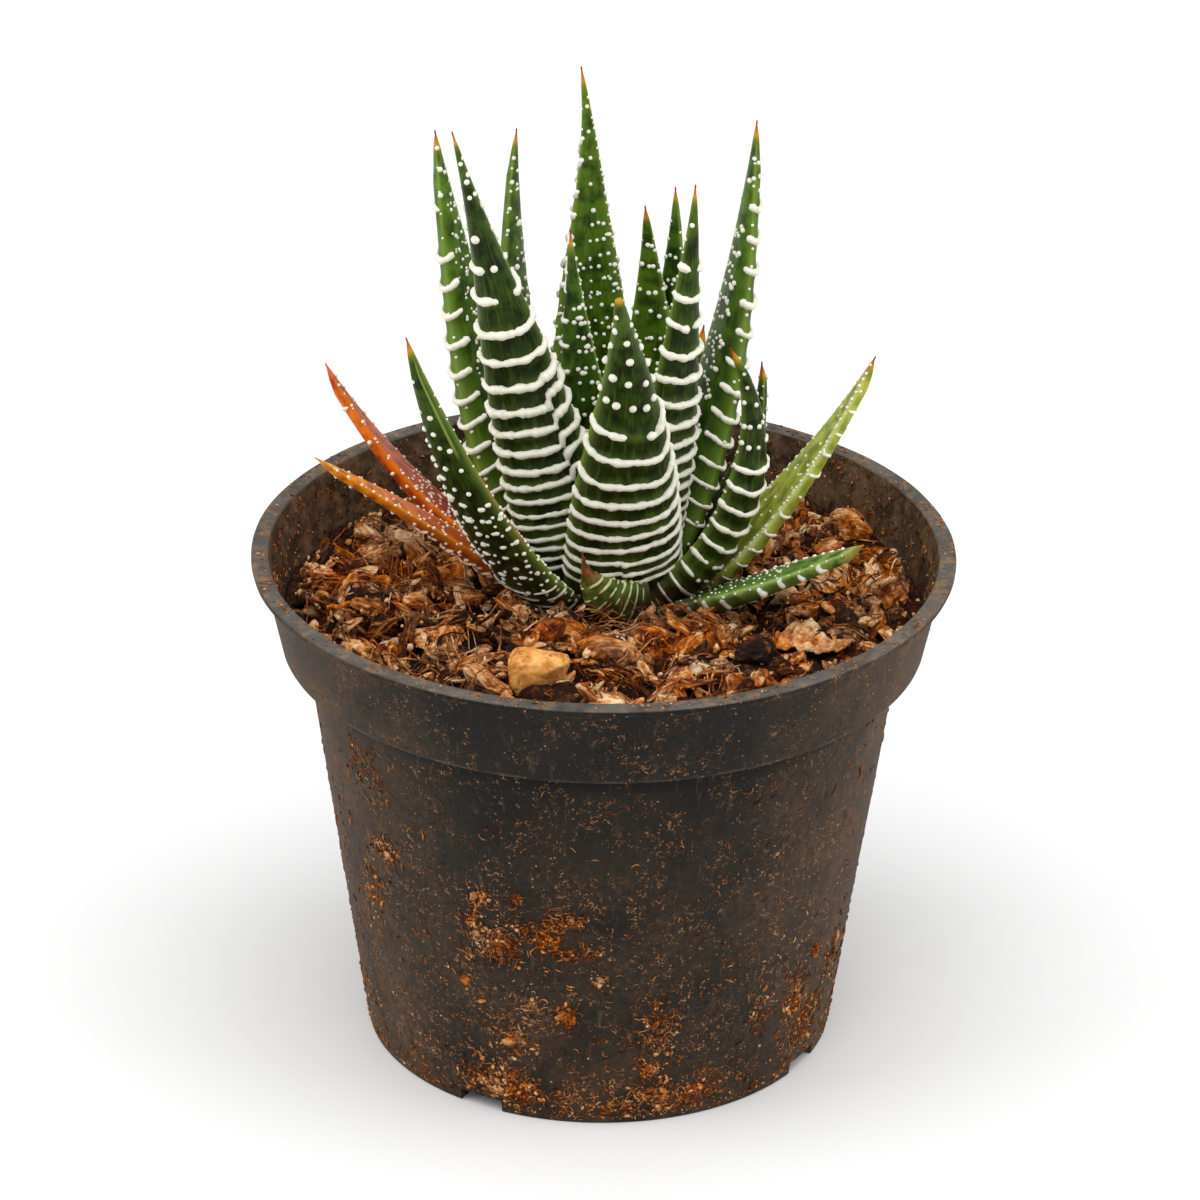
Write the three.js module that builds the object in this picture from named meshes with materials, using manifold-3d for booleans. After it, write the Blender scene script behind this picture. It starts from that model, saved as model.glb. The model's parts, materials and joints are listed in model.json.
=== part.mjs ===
// Potted zebra haworthia: a rosette of ridged succulent leaves on a short rootstock,
// in a round nursery pot filled with bark and coir.
// Millimetres, +Z up, origin on the floor under the middle of the pot.
import * as THREE from 'three';
import { mergeVertices } from 'three/addons/utils/BufferGeometryUtils.js';
import Module from 'manifold-3d';

const wasm = await Module();
wasm.setup();

// Clearance that every piece keeps to its neighbours
const gap = 0.35;

// Pot: a tapered cup, a wider collar above a ledge, a rolled lip and a notched foot
const pot = {
  height: 74.6,
  wall: 1.25,
  sides: 48,
  footRadius: 33.7,
  footWidth: 2.2,
  footRound: 0.5,
  floorUnder: 2.6,
  floorThick: 1.5,
  ledgeHeight: 61.1,
  ledgeRadius: 42.5,
  collarFoot: 45.8,
  collarTop: 48.3,
  collarHeight: 72.9,
  stepRadius: 49.2,
  lipHeight: 73.5,
  lipRadius: 50,
  lipInner: 47.6,
  lipRound: 0.4,
};

// Drainage: notches in the foot ring and a hole in the floor behind each
const drain = {
  count: 4,
  firstAngle: -119.5,
  notchWidth: 6.8,
  notchHeight: 2.0,
  holeRadius: 3.2,
  holeReach: 26.5,
  middleRadius: 4,
  holeSides: 12,
};

// Where the rosette stands in the pot, seen from above
const rosette = { x: 2, y: 8 };

// Rootstock: a short peg in the soil that narrows to the growing point
const rootstock = {
  bottom: 42,
  waistHeight: 66,
  top: 73,
  radius: 4.2,
  waist: 3.4,
  tipRadius: 1.2,
  sides: 12,
};

// Soil: bark and coir, dished round the rosette, higher at the front than behind
const soil = {
  rings: 15,
  sides: 44,
  level: 67.6,
  riseToFront: 0.032,
  rimDrop: 1.2,
  dishDepth: 3.2,
  dishRadius: 17,
  lump: 0.85,
  bedReach: 3.4,
  bedClear: 0.5,
  holeClear: 0.4,
  chunks: 40,
  chunkMin: 1.9,
  chunkMax: 4.6,
};

// Leaf section: half rounded back, nearly flat face, two edges
const section = {
  backPoints: 5,
  facePoints: 2,
  backDepth: 0.3,
  tipDepth: 0.35,
  faceCrown: 0.12,
  least: 0.8,
};

// Ridges across the back of a leaf: their pitch grows from the foot to the tip
const ridge = {
  height: 0.5,
  firstAt: 4,
  pitchFoot: 2.7,
  pitchGrowth: 3.2,
  lastShare: 0.84,
  edgeShare: 0.45,
};

// Leaves from the youngest to the oldest. seat is the direction in which a leaf stands off
// the rootstock, reach its distance from the axis and foot its height there. It leans toward a
// direction by leanFoot at its foot and by leanTip at its tip, turning by swing on the way. bow
// pushes its middle sideways, more toward the tip with a higher bowPower; slim narrows it toward
// the tip and waist toward the foot, as shares of its width.
const leaves = [
  { name: 'leaf_01', seat: 238, reach: 1.5, foot: 72, toward: 219, leanFoot: 17, leanTip: 4,
    length: 51.5, width: 9, roll: 26 },
  { name: 'leaf_02', seat: 117, reach: 5, foot: 68, toward: 114, leanFoot: 10.5, leanTip: 5,
    length: 72, width: 14, roll: -16, bow: -0.85, bowPower: 3, slim: 0.25 },
  { name: 'leaf_03', seat: 54, reach: 5, foot: 69, toward: 57, leanFoot: 22.5, leanTip: 0,
    length: 54, width: 10, roll: 2 },
  { name: 'leaf_04', seat: 295, reach: 6, foot: 68, toward: 327, leanFoot: 14, leanTip: 4,
    length: 64, width: 10.5, roll: 7 },
  { name: 'leaf_05', seat: 76, reach: 3, foot: 70, toward: 64, leanFoot: 33, leanTip: -11,
    length: 52, width: 11, roll: 3 },
  { name: 'leaf_06', seat: 148, reach: 6, foot: 68, toward: 146, leanFoot: 36, leanTip: -2,
    bend: 2, length: 65.5, width: 11, roll: -4 },
  { name: 'leaf_07', seat: 274, reach: 7, foot: 67, toward: 269, leanFoot: 19, leanTip: 18,
    swing: -5, length: 58, width: 17.5, roll: 12, bow: 0.9, bowPower: 2 },
  { name: 'leaf_08', seat: 230, reach: 8, foot: 67, toward: 203, leanFoot: 15, leanTip: 15,
    swing: -4, length: 75.5, width: 14, roll: 44, slim: 0.22 },
  { name: 'leaf_09', seat: 53, reach: 8, foot: 67, toward: 25, leanFoot: 30, leanTip: 5,
    bend: 2, swing: -3, length: 67, width: 12, roll: -21 },
  { name: 'leaf_10', seat: 163, reach: 8, foot: 67, toward: 178, leanFoot: 32, leanTip: 9,
    bend: 2.5, length: 69.5, width: 14, roll: -21 },
  { name: 'leaf_11', seat: 100, reach: 8, foot: 67, toward: 98, leanFoot: 48, leanTip: 14,
    length: 41, width: 12 },
  { name: 'leaf_12', seat: 220, reach: 9, foot: 66, toward: 231, leanFoot: 56, leanTip: 22,
    bend: 2, swing: -6, length: 62, width: 12.5, roll: 14 },
  { name: 'leaf_13', seat: 279, reach: 9, foot: 66, toward: 0, leanFoot: 66, leanTip: -28,
    bend: 1, swing: 21, length: 47.5, width: 10.6, roll: 34, waist: 0.38 },
  { name: 'leaf_14', seat: 32, reach: 9, foot: 67, toward: 29, leanFoot: 69, leanTip: 0,
    length: 33.5, width: 8, roll: -3 },
  { name: 'leaf_15', seat: 349, reach: 9, foot: 66, toward: 357, leanFoot: 50, leanTip: 27,
    swing: -3, length: 46, width: 12.5, roll: 15 },
  { name: 'leaf_16', seat: 187, reach: 9, foot: 67, toward: 170, leanFoot: 70, leanTip: 32,
    swing: 5, length: 46, width: 12, roll: -9 },
  { name: 'leaf_17', seat: 140, reach: 9, foot: 66, toward: 140, leanFoot: 56, leanTip: 24,
    length: 36, width: 11 },
  { name: 'leaf_18', seat: 66, reach: 9, foot: 66, toward: 66, leanFoot: 54, leanTip: 26,
    length: 35, width: 11 },
  { name: 'leaf_19', seat: 316, reach: 9, foot: 65, toward: 329, leanFoot: 63, leanTip: 57,
    bend: 1, swing: -14, length: 40, width: 13, roll: 14 },
  { name: 'leaf_20', seat: 204, reach: 10, foot: 65, toward: 198, leanFoot: 50, leanTip: 54,
    bend: 1, swing: 12, length: 46, width: 9.6, roll: -4 },
  { name: 'leaf_21', seat: 287, reach: 13.5, foot: 68.3, toward: 202, leanFoot: 88, leanTip: -6,
    bend: 0.95, swing: -14, length: 15.5, width: 7.5, roll: 0, slim: 0.75 },
];

// Leaves that stay whole, outermost first; each later one is cut clear of those before it
const cutOrder = [7, 8, 21, 12, 19, 13, 4, 15, 20, 16, 10, 9, 2, 6, 1, 5, 3, 14, 11, 17, 18];

const spineSteps = 60;
const bendDefault = 1.5;
const rad = THREE.MathUtils.degToRad;

// Seeded random numbers from 0 to 1
function makeRandom(seed) {
  let state = seed;
  return () => {
    state = (state * 1664525 + 1013904223) % 4294967296;
    return state / 4294967296;
  };
}

// Closed geometry to a solid for joining and cutting
function toSolid(geometry) {
  const bare = geometry.clone();
  bare.deleteAttribute('normal');
  bare.deleteAttribute('uv');
  const merged = mergeVertices(bare, 1e-4);
  const corners = merged.index.array;
  const kept = [];
  for (let i = 0; i < corners.length; i += 3) {
    const [a, b, c] = [corners[i], corners[i + 1], corners[i + 2]];
    if (a !== b && b !== c && c !== a) kept.push(a, b, c);
  }
  return new wasm.Manifold(new wasm.Mesh({
    numProp: 3,
    vertProperties: new Float32Array(merged.attributes.position.array),
    triVerts: new Uint32Array(kept),
  }));
}

// Solid back to a geometry for a mesh
function toGeometry(solid) {
  const mesh = solid.getMesh();
  const geometry = new THREE.BufferGeometry();
  geometry.setAttribute('position', new THREE.BufferAttribute(mesh.vertProperties, 3));
  geometry.setIndex(new THREE.BufferAttribute(mesh.triVerts, 1));
  geometry.computeVertexNormals();
  return geometry;
}

// The largest body of a solid that cutting has left in pieces
function largestBody(solid) {
  const bodies = solid.decompose();
  bodies.sort((a, b) => b.volume() - a.volume());
  return bodies[0];
}

// A closed skin over a stack of rings of points, capped with a fan at both ends
function skin(rings) {
  const around = rings[0].length;
  const points = rings.flat();
  const index = [];
  for (let i = 0; i + 1 < rings.length; i += 1) {
    for (let j = 0; j < around; j += 1) {
      const k = (j + 1) % around;
      const [a, b] = [i * around + j, i * around + k];
      const [c, d] = [a + around, b + around];
      index.push(a, b, d, a, d, c);
    }
  }
  [0, rings.length - 1].forEach((end) => {
    const middle = new THREE.Vector3();
    rings[end].forEach((point) => middle.addScaledVector(point, 1 / around));
    points.push(middle);
    for (let j = 0; j < around; j += 1) {
      const [a, b] = [end * around + j, end * around + ((j + 1) % around)];
      index.push(...(end === 0 ? [points.length - 1, b, a] : [points.length - 1, a, b]));
    }
  });
  const geometry = new THREE.BufferGeometry().setFromPoints(points);
  geometry.setIndex(index);
  return geometry;
}

function makeMesh(name, solid, color, roughness) {
  const material = new THREE.MeshStandardMaterial({ color, roughness, metalness: 0 });
  const mesh = new THREE.Mesh(toGeometry(solid), material);
  mesh.name = name;
  return mesh;
}

// Pot

function wallRadius(z) {
  if (z > pot.ledgeHeight) {
    const share = (z - pot.ledgeHeight) / (pot.collarHeight - pot.ledgeHeight);
    return THREE.MathUtils.lerp(pot.collarFoot, pot.collarTop, share) - pot.wall;
  }
  return THREE.MathUtils.lerp(pot.footRadius, pot.ledgeRadius, z / pot.ledgeHeight) - pot.wall;
}

const floorTop = pot.floorUnder + pot.floorThick;
const innerLedge = pot.ledgeHeight + pot.wall;

function potSolid() {
  const footInner = pot.footRadius - pot.footWidth;
  const profile = [
    [pot.footRadius - pot.footRound, 0],
    [pot.footRadius, pot.footRound],
    [pot.ledgeRadius, pot.ledgeHeight],
    [pot.collarFoot, pot.ledgeHeight],
    [pot.collarTop, pot.collarHeight],
    [pot.stepRadius, pot.collarHeight],
    [pot.stepRadius, pot.lipHeight],
    [pot.lipRadius, pot.lipHeight],
    [pot.lipRadius, pot.height - pot.lipRound],
    [pot.lipRadius - pot.lipRound, pot.height],
    [pot.lipInner, pot.height],
    [wallRadius(innerLedge), innerLedge],
    [wallRadius(pot.ledgeHeight), innerLedge],
    [wallRadius(floorTop), floorTop],
    [drain.middleRadius, floorTop],
    [drain.middleRadius, pot.floorUnder],
    [footInner, pot.floorUnder],
    [footInner, 0],
  ];
  const outline = [...profile, profile[0]].map(([radius, z]) => new THREE.Vector2(radius, z));
  const turned = new THREE.LatheGeometry(outline, pot.sides);
  turned.rotateX(Math.PI / 2);
  let solid = toSolid(turned);
  for (let i = 0; i < drain.count; i += 1) {
    const angle = rad(drain.firstAngle + (360 / drain.count) * i);
    const notch = new THREE.BoxGeometry(4 * pot.footWidth, drain.notchWidth, 2 * drain.notchHeight);
    notch.translate(pot.footRadius - pot.footWidth / 2, 0, 0);
    notch.rotateZ(angle);
    const hole = new THREE.CylinderGeometry(
      drain.holeRadius, drain.holeRadius, 2 * floorTop, drain.holeSides,
    );
    hole.rotateX(Math.PI / 2);
    hole.translate(drain.holeReach, 0, floorTop);
    hole.rotateZ(angle);
    solid = solid.subtract(toSolid(notch)).subtract(toSolid(hole));
  }
  return solid;
}

// Leaves

// The points of a leaf's spine and the directions of its tangent and back, at even steps
function leafSpine(leaf) {
  const seat = rad(leaf.seat);
  const outward = new THREE.Vector3(Math.cos(seat), Math.sin(seat), 0);
  const bend = leaf.bend ?? bendDefault;
  const tangentAt = (t) => {
    const toward = rad(leaf.toward + (leaf.swing ?? 0) * t);
    const lean = rad(leaf.leanTip + (leaf.leanFoot - leaf.leanTip) * (1 - t) ** bend);
    return new THREE.Vector3(
      Math.sin(lean) * Math.cos(toward), Math.sin(lean) * Math.sin(toward), Math.cos(lean),
    );
  };
  const point = new THREE.Vector3(rosette.x, rosette.y, leaf.foot);
  point.addScaledVector(outward, leaf.reach);
  const stations = [];
  for (let i = 0; i <= spineSteps; i += 1) {
    const tangent = tangentAt(i / spineSteps);
    const back = outward.clone().projectOnPlane(tangent).normalize();
    back.applyAxisAngle(tangent, rad(leaf.roll ?? 0));
    const side = new THREE.Vector3().crossVectors(tangent, back);
    const aside = (leaf.bow ?? 0) * Math.sin(Math.PI * (i / spineSteps) ** (leaf.bowPower ?? 1));
    stations.push({ point: point.clone().addScaledVector(side, aside), back, side });
    point.addScaledVector(tangentAt((i + 0.5) / spineSteps), leaf.length / spineSteps);
  }
  return stations;
}

// Width share at t: full over the lower third, then straight to the tip
function widthShare(leaf, t) {
  const taper = 1.42 * (1 - t);
  const narrowed = 1 - (leaf.slim ?? 0) * THREE.MathUtils.smoothstep(t, 0.5, 0.9);
  const waisted = 1 - (leaf.waist ?? 0) * (1 - THREE.MathUtils.smoothstep(t, 0.15, 0.6));
  return taper / (1 + taper ** 6) ** (1 / 6) * narrowed * waisted;
}

// One ring of the leaf at t, grown outwards by extra on every side and by rise on the back
function leafRing(leaf, stations, t, rise, extra) {
  const at = Math.min(t, 1) * spineSteps;
  const low = Math.min(Math.floor(at), spineSteps - 1);
  const [from, to] = [stations[low], stations[low + 1]];
  const mix = (key) => from[key].clone().lerp(to[key], at - low);
  const [point, back, side] = [mix('point'), mix('back').normalize(), mix('side').normalize()];
  const half = Math.max(widthShare(leaf, Math.min(t, 0.985)) * leaf.width, section.least) / 2;
  const share = section.tipDepth + (1 - section.tipDepth) * (1 - t);
  const depth = Math.min(Math.max(section.backDepth * leaf.width * share, 0.6), 1.6 * half);
  const ring = [];
  const put = (across, down) => ring.push(
    point.clone().addScaledVector(side, across).addScaledVector(back, down),
  );
  const edge = half + extra + rise * ridge.edgeShare;
  const count = section.backPoints + 1;
  for (let k = 0; k <= count; k += 1) {
    const angle = (Math.PI * k) / count;
    put(-edge * Math.cos(angle), (depth + rise + extra) * Math.sin(angle) ** 0.85);
  }
  for (let k = 1; k <= section.facePoints; k += 1) {
    const across = 1 - (2 * k) / (section.facePoints + 1);
    put(edge * across, -section.faceCrown * half * (1 - across * across) - extra);
  }
  return ring;
}

// A leaf with its ridges raised on the back: a crest at each band, a valley between two
function leafGeometry(leaf) {
  const stations = leafSpine(leaf);
  const rings = [leafRing(leaf, stations, 0, 0, 0)];
  let at = Math.min(ridge.firstAt, leaf.length / 6);
  while (at < ridge.lastShare * leaf.length) {
    const t = at / leaf.length;
    const pitch = ridge.pitchFoot + ridge.pitchGrowth * t;
    const rise = ridge.height * Math.min(1, 2.4 * (1 - t));
    rings.push(leafRing(leaf, stations, t, rise, 0));
    rings.push(leafRing(leaf, stations, (at + pitch / 2) / leaf.length, 0, 0));
    at += pitch;
  }
  [0.93, 1].forEach((t) => {
    if (t * leaf.length > at - ridge.pitchFoot / 2) rings.push(leafRing(leaf, stations, t, 0, 0));
  });
  return skin(rings);
}

// A plain, slightly larger copy of a leaf, which holds its clearance
function leafSpace(leaf) {
  const stations = leafSpine(leaf);
  const rings = [];
  for (let i = 0; i <= 14; i += 1) rings.push(leafRing(leaf, stations, i / 14, ridge.height, gap));
  return toSolid(skin(rings));
}

function leafMeshes() {
  const greens = [0x24401b, 0x2b4d20, 0x2f5a22];
  const dried = { leaf_16: 0xc9542d, leaf_20: 0xd97a2a, leaf_15: 0x86a33c };
  let taken = pegSolid(gap);
  return cutOrder.map((number) => {
    const leaf = leaves[number - 1];
    const solid = largestBody(toSolid(leafGeometry(leaf)).subtract(taken));
    taken = taken.add(leafSpace(leaf));
    return makeMesh(leaf.name, solid, dried[leaf.name] ?? greens[number % 3], 0.45);
  });
}

// Rootstock

function pegSolid(extra) {
  const rows = [
    [rootstock.radius * 0.6, rootstock.bottom - extra],
    [rootstock.radius, rootstock.bottom + 6],
    [rootstock.radius, rootstock.waistHeight],
    [rootstock.waist, rootstock.waistHeight + 2],
    [rootstock.tipRadius, rootstock.top + extra],
  ];
  const rings = rows.map(([radius, z]) => {
    const ring = [];
    for (let k = 0; k < rootstock.sides; k += 1) {
      const angle = (2 * Math.PI * k) / rootstock.sides;
      const reach = radius + extra;
      ring.push(new THREE.Vector3(
        rosette.x + reach * Math.cos(angle), rosette.y + reach * Math.sin(angle), z,
      ));
    }
    return ring;
  });
  return toSolid(skin(rings));
}

// Soil

// Points on the skins of all leaves, which the soil stays below
const leafPoints = leaves.flatMap((leaf) => {
  const stations = leafSpine(leaf);
  return stations.flatMap((_, i) => leafRing(leaf, stations, i / spineSteps, ridge.height, 0));
});

// Lowest leaf point over a round patch of the soil
function lowestLeaf(x, y, reach) {
  const over = leafPoints.filter((point) => Math.hypot(point.x - x, point.y - y) < reach);
  return Math.min(...over.map((point) => point.z));
}

// Height of the soil's surface: level, rise to the front, dish round the rosette and lumps,
// pressed down where a leaf lies on it
function soilHeight(x, y) {
  const toRosette = Math.hypot(x - rosette.x, y - rosette.y);
  const lumps = Math.sin(0.31 * x + 1.3) * Math.cos(0.27 * y - 0.4)
    + 0.6 * Math.sin(0.71 * x - 0.53 * y) + 0.4 * Math.cos(0.97 * y + 0.61 * x);
  const open = soil.level - soil.riseToFront * y
    - soil.dishDepth * Math.exp(-((toRosette / soil.dishRadius) ** 4))
    - soil.rimDrop * (Math.hypot(x, y) / pot.lipRadius) ** 6
    + soil.lump * lumps * Math.min(1, toRosette / soil.dishRadius);
  return Math.min(open, lowestLeaf(x, y, soil.bedReach) - soil.bedClear);
}

function soilBody() {
  const rings = [];
  const addRing = (radius, heightOf) => {
    const ring = [];
    for (let k = 0; k < soil.sides; k += 1) {
      const angle = (2 * Math.PI * k) / soil.sides;
      const [x, y] = [radius * Math.cos(angle), radius * Math.sin(angle)];
      ring.push(new THREE.Vector3(x, y, heightOf(x, y)));
    }
    rings.push(ring);
  };
  const bottom = floorTop + gap;
  const shelf = innerLedge + gap;
  addRing(1, () => bottom);
  addRing(wallRadius(bottom) - gap, () => bottom);
  addRing(wallRadius(pot.ledgeHeight) - gap, () => shelf);
  addRing(wallRadius(shelf) - gap, () => shelf);
  for (let i = soil.rings; i > 0; i -= 1) {
    const edge = wallRadius(soil.level - soil.rimDrop) - 2 * gap;
    addRing(Math.max((edge * i) / soil.rings, 1), soilHeight);
  }
  return toSolid(skin(rings));
}

// Bark chunks, each a rough flattened lump turned at random and half sunk in the soil
function barkChunks() {
  const random = makeRandom(11);
  const chunks = [];
  while (chunks.length < soil.chunks) {
    const reach = Math.sqrt(random()) * (wallRadius(soil.level) - soil.chunkMax - 1.5);
    const angle = 2 * Math.PI * random();
    const [x, y] = [reach * Math.cos(angle), reach * Math.sin(angle)];
    const size = THREE.MathUtils.lerp(soil.chunkMin, soil.chunkMax, random() ** 2);
    const turn = new THREE.Euler(0.5 * random(), 0.5 * random(), 2 * Math.PI * random());
    const z = soilHeight(x, y);
    if (lowestLeaf(x, y, 1.3 * size + soil.bedClear) > z + 0.8 * size + soil.bedClear) {
      const chunk = new THREE.IcosahedronGeometry(size, 0);
      chunk.scale(1.25, 0.8, 0.5);
      chunk.applyMatrix4(new THREE.Matrix4().makeRotationFromEuler(turn));
      chunk.translate(x, y, z);
      chunks.push(toSolid(chunk));
    }
  }
  return wasm.Manifold.union(chunks);
}

function soilSolid() {
  return largestBody(soilBody().add(barkChunks()).subtract(pegSolid(soil.holeClear)));
}

const plant = new THREE.Group();
plant.add(...leafMeshes().sort((a, b) => a.name.localeCompare(b.name)));
plant.add(makeMesh('rootstock', pegSolid(0), 0x6b5138, 0.8));

const potted = new THREE.Group();
potted.add(makeMesh('pot', potSolid(), 0x333436, 0.6));
potted.add(makeMesh('soil', soilSolid(), 0x4a2c18, 0.95));
potted.add(plant);

export default potted;
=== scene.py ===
import json
import math

import bmesh
import bpy
import numpy as np
from mathutils import Matrix, Vector
from mathutils.bvhtree import BVHTree

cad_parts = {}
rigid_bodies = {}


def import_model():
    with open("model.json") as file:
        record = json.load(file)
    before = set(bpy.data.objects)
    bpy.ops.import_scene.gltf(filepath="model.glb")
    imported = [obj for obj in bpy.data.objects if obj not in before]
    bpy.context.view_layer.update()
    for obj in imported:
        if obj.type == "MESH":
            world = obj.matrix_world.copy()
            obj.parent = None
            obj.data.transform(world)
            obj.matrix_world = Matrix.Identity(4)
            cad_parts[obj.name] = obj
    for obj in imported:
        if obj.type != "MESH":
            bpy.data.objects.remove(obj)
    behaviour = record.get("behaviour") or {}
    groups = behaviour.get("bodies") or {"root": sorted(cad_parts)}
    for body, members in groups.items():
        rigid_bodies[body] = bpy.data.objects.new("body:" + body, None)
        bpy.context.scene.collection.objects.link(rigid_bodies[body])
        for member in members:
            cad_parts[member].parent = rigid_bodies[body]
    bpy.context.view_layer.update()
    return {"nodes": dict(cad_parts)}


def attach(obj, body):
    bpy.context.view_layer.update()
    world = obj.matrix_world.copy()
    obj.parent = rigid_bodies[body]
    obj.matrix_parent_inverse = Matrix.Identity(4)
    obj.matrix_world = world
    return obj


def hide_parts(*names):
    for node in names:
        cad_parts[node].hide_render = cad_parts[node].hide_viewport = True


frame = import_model()
mm = 0.001


# Small helpers

def toLinear(colour):
    values = [int(colour[i:i + 2], 16) / 255 for i in (1, 3, 5)]
    linear = [v / 12.92 if v <= 0.04045 else ((v + 0.055) / 1.055) ** 2.4 for v in values]
    return (*linear, 1.0)


def feed(tree, node, inputs):
    # Links an input to a socket, or to a node's first output, and sets any other value on it
    for socket, source in inputs.items():
        if isinstance(source, bpy.types.Node):
            source = source.outputs[0]
        if isinstance(source, bpy.types.NodeSocket):
            tree.links.new(source, node.inputs[socket])
        else:
            node.inputs[socket].default_value = source


def addNode(tree, kind, inputs=None, stops=(), **settings):
    # A node with its settings, its inputs and, on a colour ramp, its stops
    node = tree.nodes.new(kind)
    for name, value in settings.items():
        setattr(node, name, value)
    feed(tree, node, inputs or {})
    if stops:
        colours = node.color_ramp.elements
        while len(colours) < len(stops):
            colours.new(0.5)
        for element, (place, colour) in zip(colours, stops):
            element.position = place
            element.color = toLinear(colour)
    return node


def startMaterial(name):
    material = bpy.data.materials.new(name)
    material.use_nodes = True
    return material, material.node_tree, material.node_tree.nodes["Principled BSDF"]


def startTree(name, inputs, output):
    # A Geometry Nodes tree with named inputs, and the sockets that give them
    tree = bpy.data.node_groups.new(name, "GeometryNodeTree")
    for label, kind in inputs.items():
        tree.interface.new_socket(label, in_out="INPUT", socket_type="NodeSocket" + kind)
    tree.interface.new_socket(output, in_out="OUTPUT", socket_type="NodeSocketGeometry")
    return tree, addNode(tree, "NodeGroupInput").outputs


def makeObject(name, mesh):
    thing = bpy.data.objects.new(name, mesh)
    bpy.context.scene.collection.objects.link(thing)
    return thing


def makeMesh(name, points, faces=(), edges=()):
    mesh = bpy.data.meshes.new(name)
    mesh.from_pydata([tuple(p) for p in points], edges, faces)
    mesh.polygons.foreach_set("use_smooth", [True] * len(mesh.polygons))
    mesh.update()
    return mesh


def ringFaces(rings, sides, joined=False, capped=False):
    # Quads between rings of points. The last ring is joined to the first, or both are capped by
    # fans to two middle points that follow the rings
    faces = []
    for i in range(rings if joined else rings - 1):
        m = (i + 1) % rings
        for j in range(sides):
            k = (j + 1) % sides
            faces.append((i * sides + j, i * sides + k, m * sides + k, m * sides + j))
    last = (rings - 1) * sides
    for j in range(sides if capped else 0):
        k = (j + 1) % sides
        faces.append((last + sides, k, j))
        faces.append((last + sides + 1, last + j, last + k))
    return faces


def addValues(mesh, name, values, kind="FLOAT"):
    attribute = mesh.attributes.new(name, kind, "POINT")
    field = "value" if kind == "FLOAT" else "vector"
    attribute.data.foreach_set(field, np.asarray(values, np.float32).ravel())


def runTree(thing, tree, inputs):
    # Evaluates a Geometry Nodes tree on the thing and keeps the result as its plain mesh
    modifier = thing.modifiers.new(tree.name, "NODES")
    modifier.node_group = tree
    sockets = {item.name: item.identifier for item in tree.interface.items_tree if item.in_out == "INPUT"}
    for name, value in inputs.items():
        modifier[sockets[name]] = value
    graph = bpy.context.evaluated_depsgraph_get()
    thing.data = bpy.data.meshes.new_from_object(
        thing.evaluated_get(graph), preserve_all_data_layers=True, depsgraph=graph)
    thing.modifiers.clear()


def smoothStep(low, high, value):
    share = np.clip((value - low) / (high - low), 0, 1)
    return share * share * (3 - 2 * share)


def waves(points, draw, size, count=7):
    # Smooth noise from a few plane waves, about size apart
    total = np.zeros(len(points))
    for _ in range(count):
        direction = draw.normal(size=3)
        direction *= 2 * np.pi / size * draw.uniform(0.6, 1.5) / np.linalg.norm(direction)
        total += np.sin(points @ direction + draw.uniform(0, 2 * np.pi))
    return total / count


def rideOn(piece, slot, *nodes):
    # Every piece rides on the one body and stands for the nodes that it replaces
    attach(piece, "root")
    if nodes:
        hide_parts(*nodes)
    return piece


# Camera, floor and light

view = {
    "elevation": 26.4,
    "roll": 0.67,
    "distance": 900,
    "lens": 189.6,      # on a 36 mm sensor, which gives about 7 pixels per millimetre
    "aimHeight": 66.4,
    "aimShift": -0.456,
}


def makeCamera():
    tilt = math.radians(view["elevation"])
    roll = math.radians(view["roll"])
    back = Vector((0, -math.cos(tilt), math.sin(tilt)))
    right = Vector((1, 0, 0))
    up = Vector((0, math.sin(tilt), math.cos(tilt)))
    rolledRight = math.cos(roll) * right + math.sin(roll) * up
    rolledUp = -math.sin(roll) * right + math.cos(roll) * up
    data = bpy.data.cameras.new("camera")
    data.sensor_fit = "HORIZONTAL"
    data.sensor_width = 36
    data.lens = view["lens"]
    data.clip_end = 50
    camera = bpy.data.objects.new("camera", data)
    bpy.context.scene.collection.objects.link(camera)
    place = Vector((0, 0, view["aimHeight"])) + view["distance"] * back + view["aimShift"] * rolledRight
    rows = [(rolledRight[i], rolledUp[i], back[i], place[i] * mm) for i in range(3)]
    camera.matrix_world = Matrix([*rows, (0, 0, 0, 1)])
    bpy.context.scene.camera = camera


studio = {
    "floorSize": 12000,
    "floorColour": "#f4f4f4",
    "worldStrength": 0.54,
    "lights": [
        # name, azimuth from the front, height above the floor, distance, size, watts
        ("overhead", 10, 78, 1500, 1500, 14.0),
        ("left", -78, 32, 1100, 800, 4.3),
        ("right", 82, 30, 1100, 800, 3.8),
        ("front", -15, 40, 1500, 700, 1.7),
    ],
}


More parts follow.
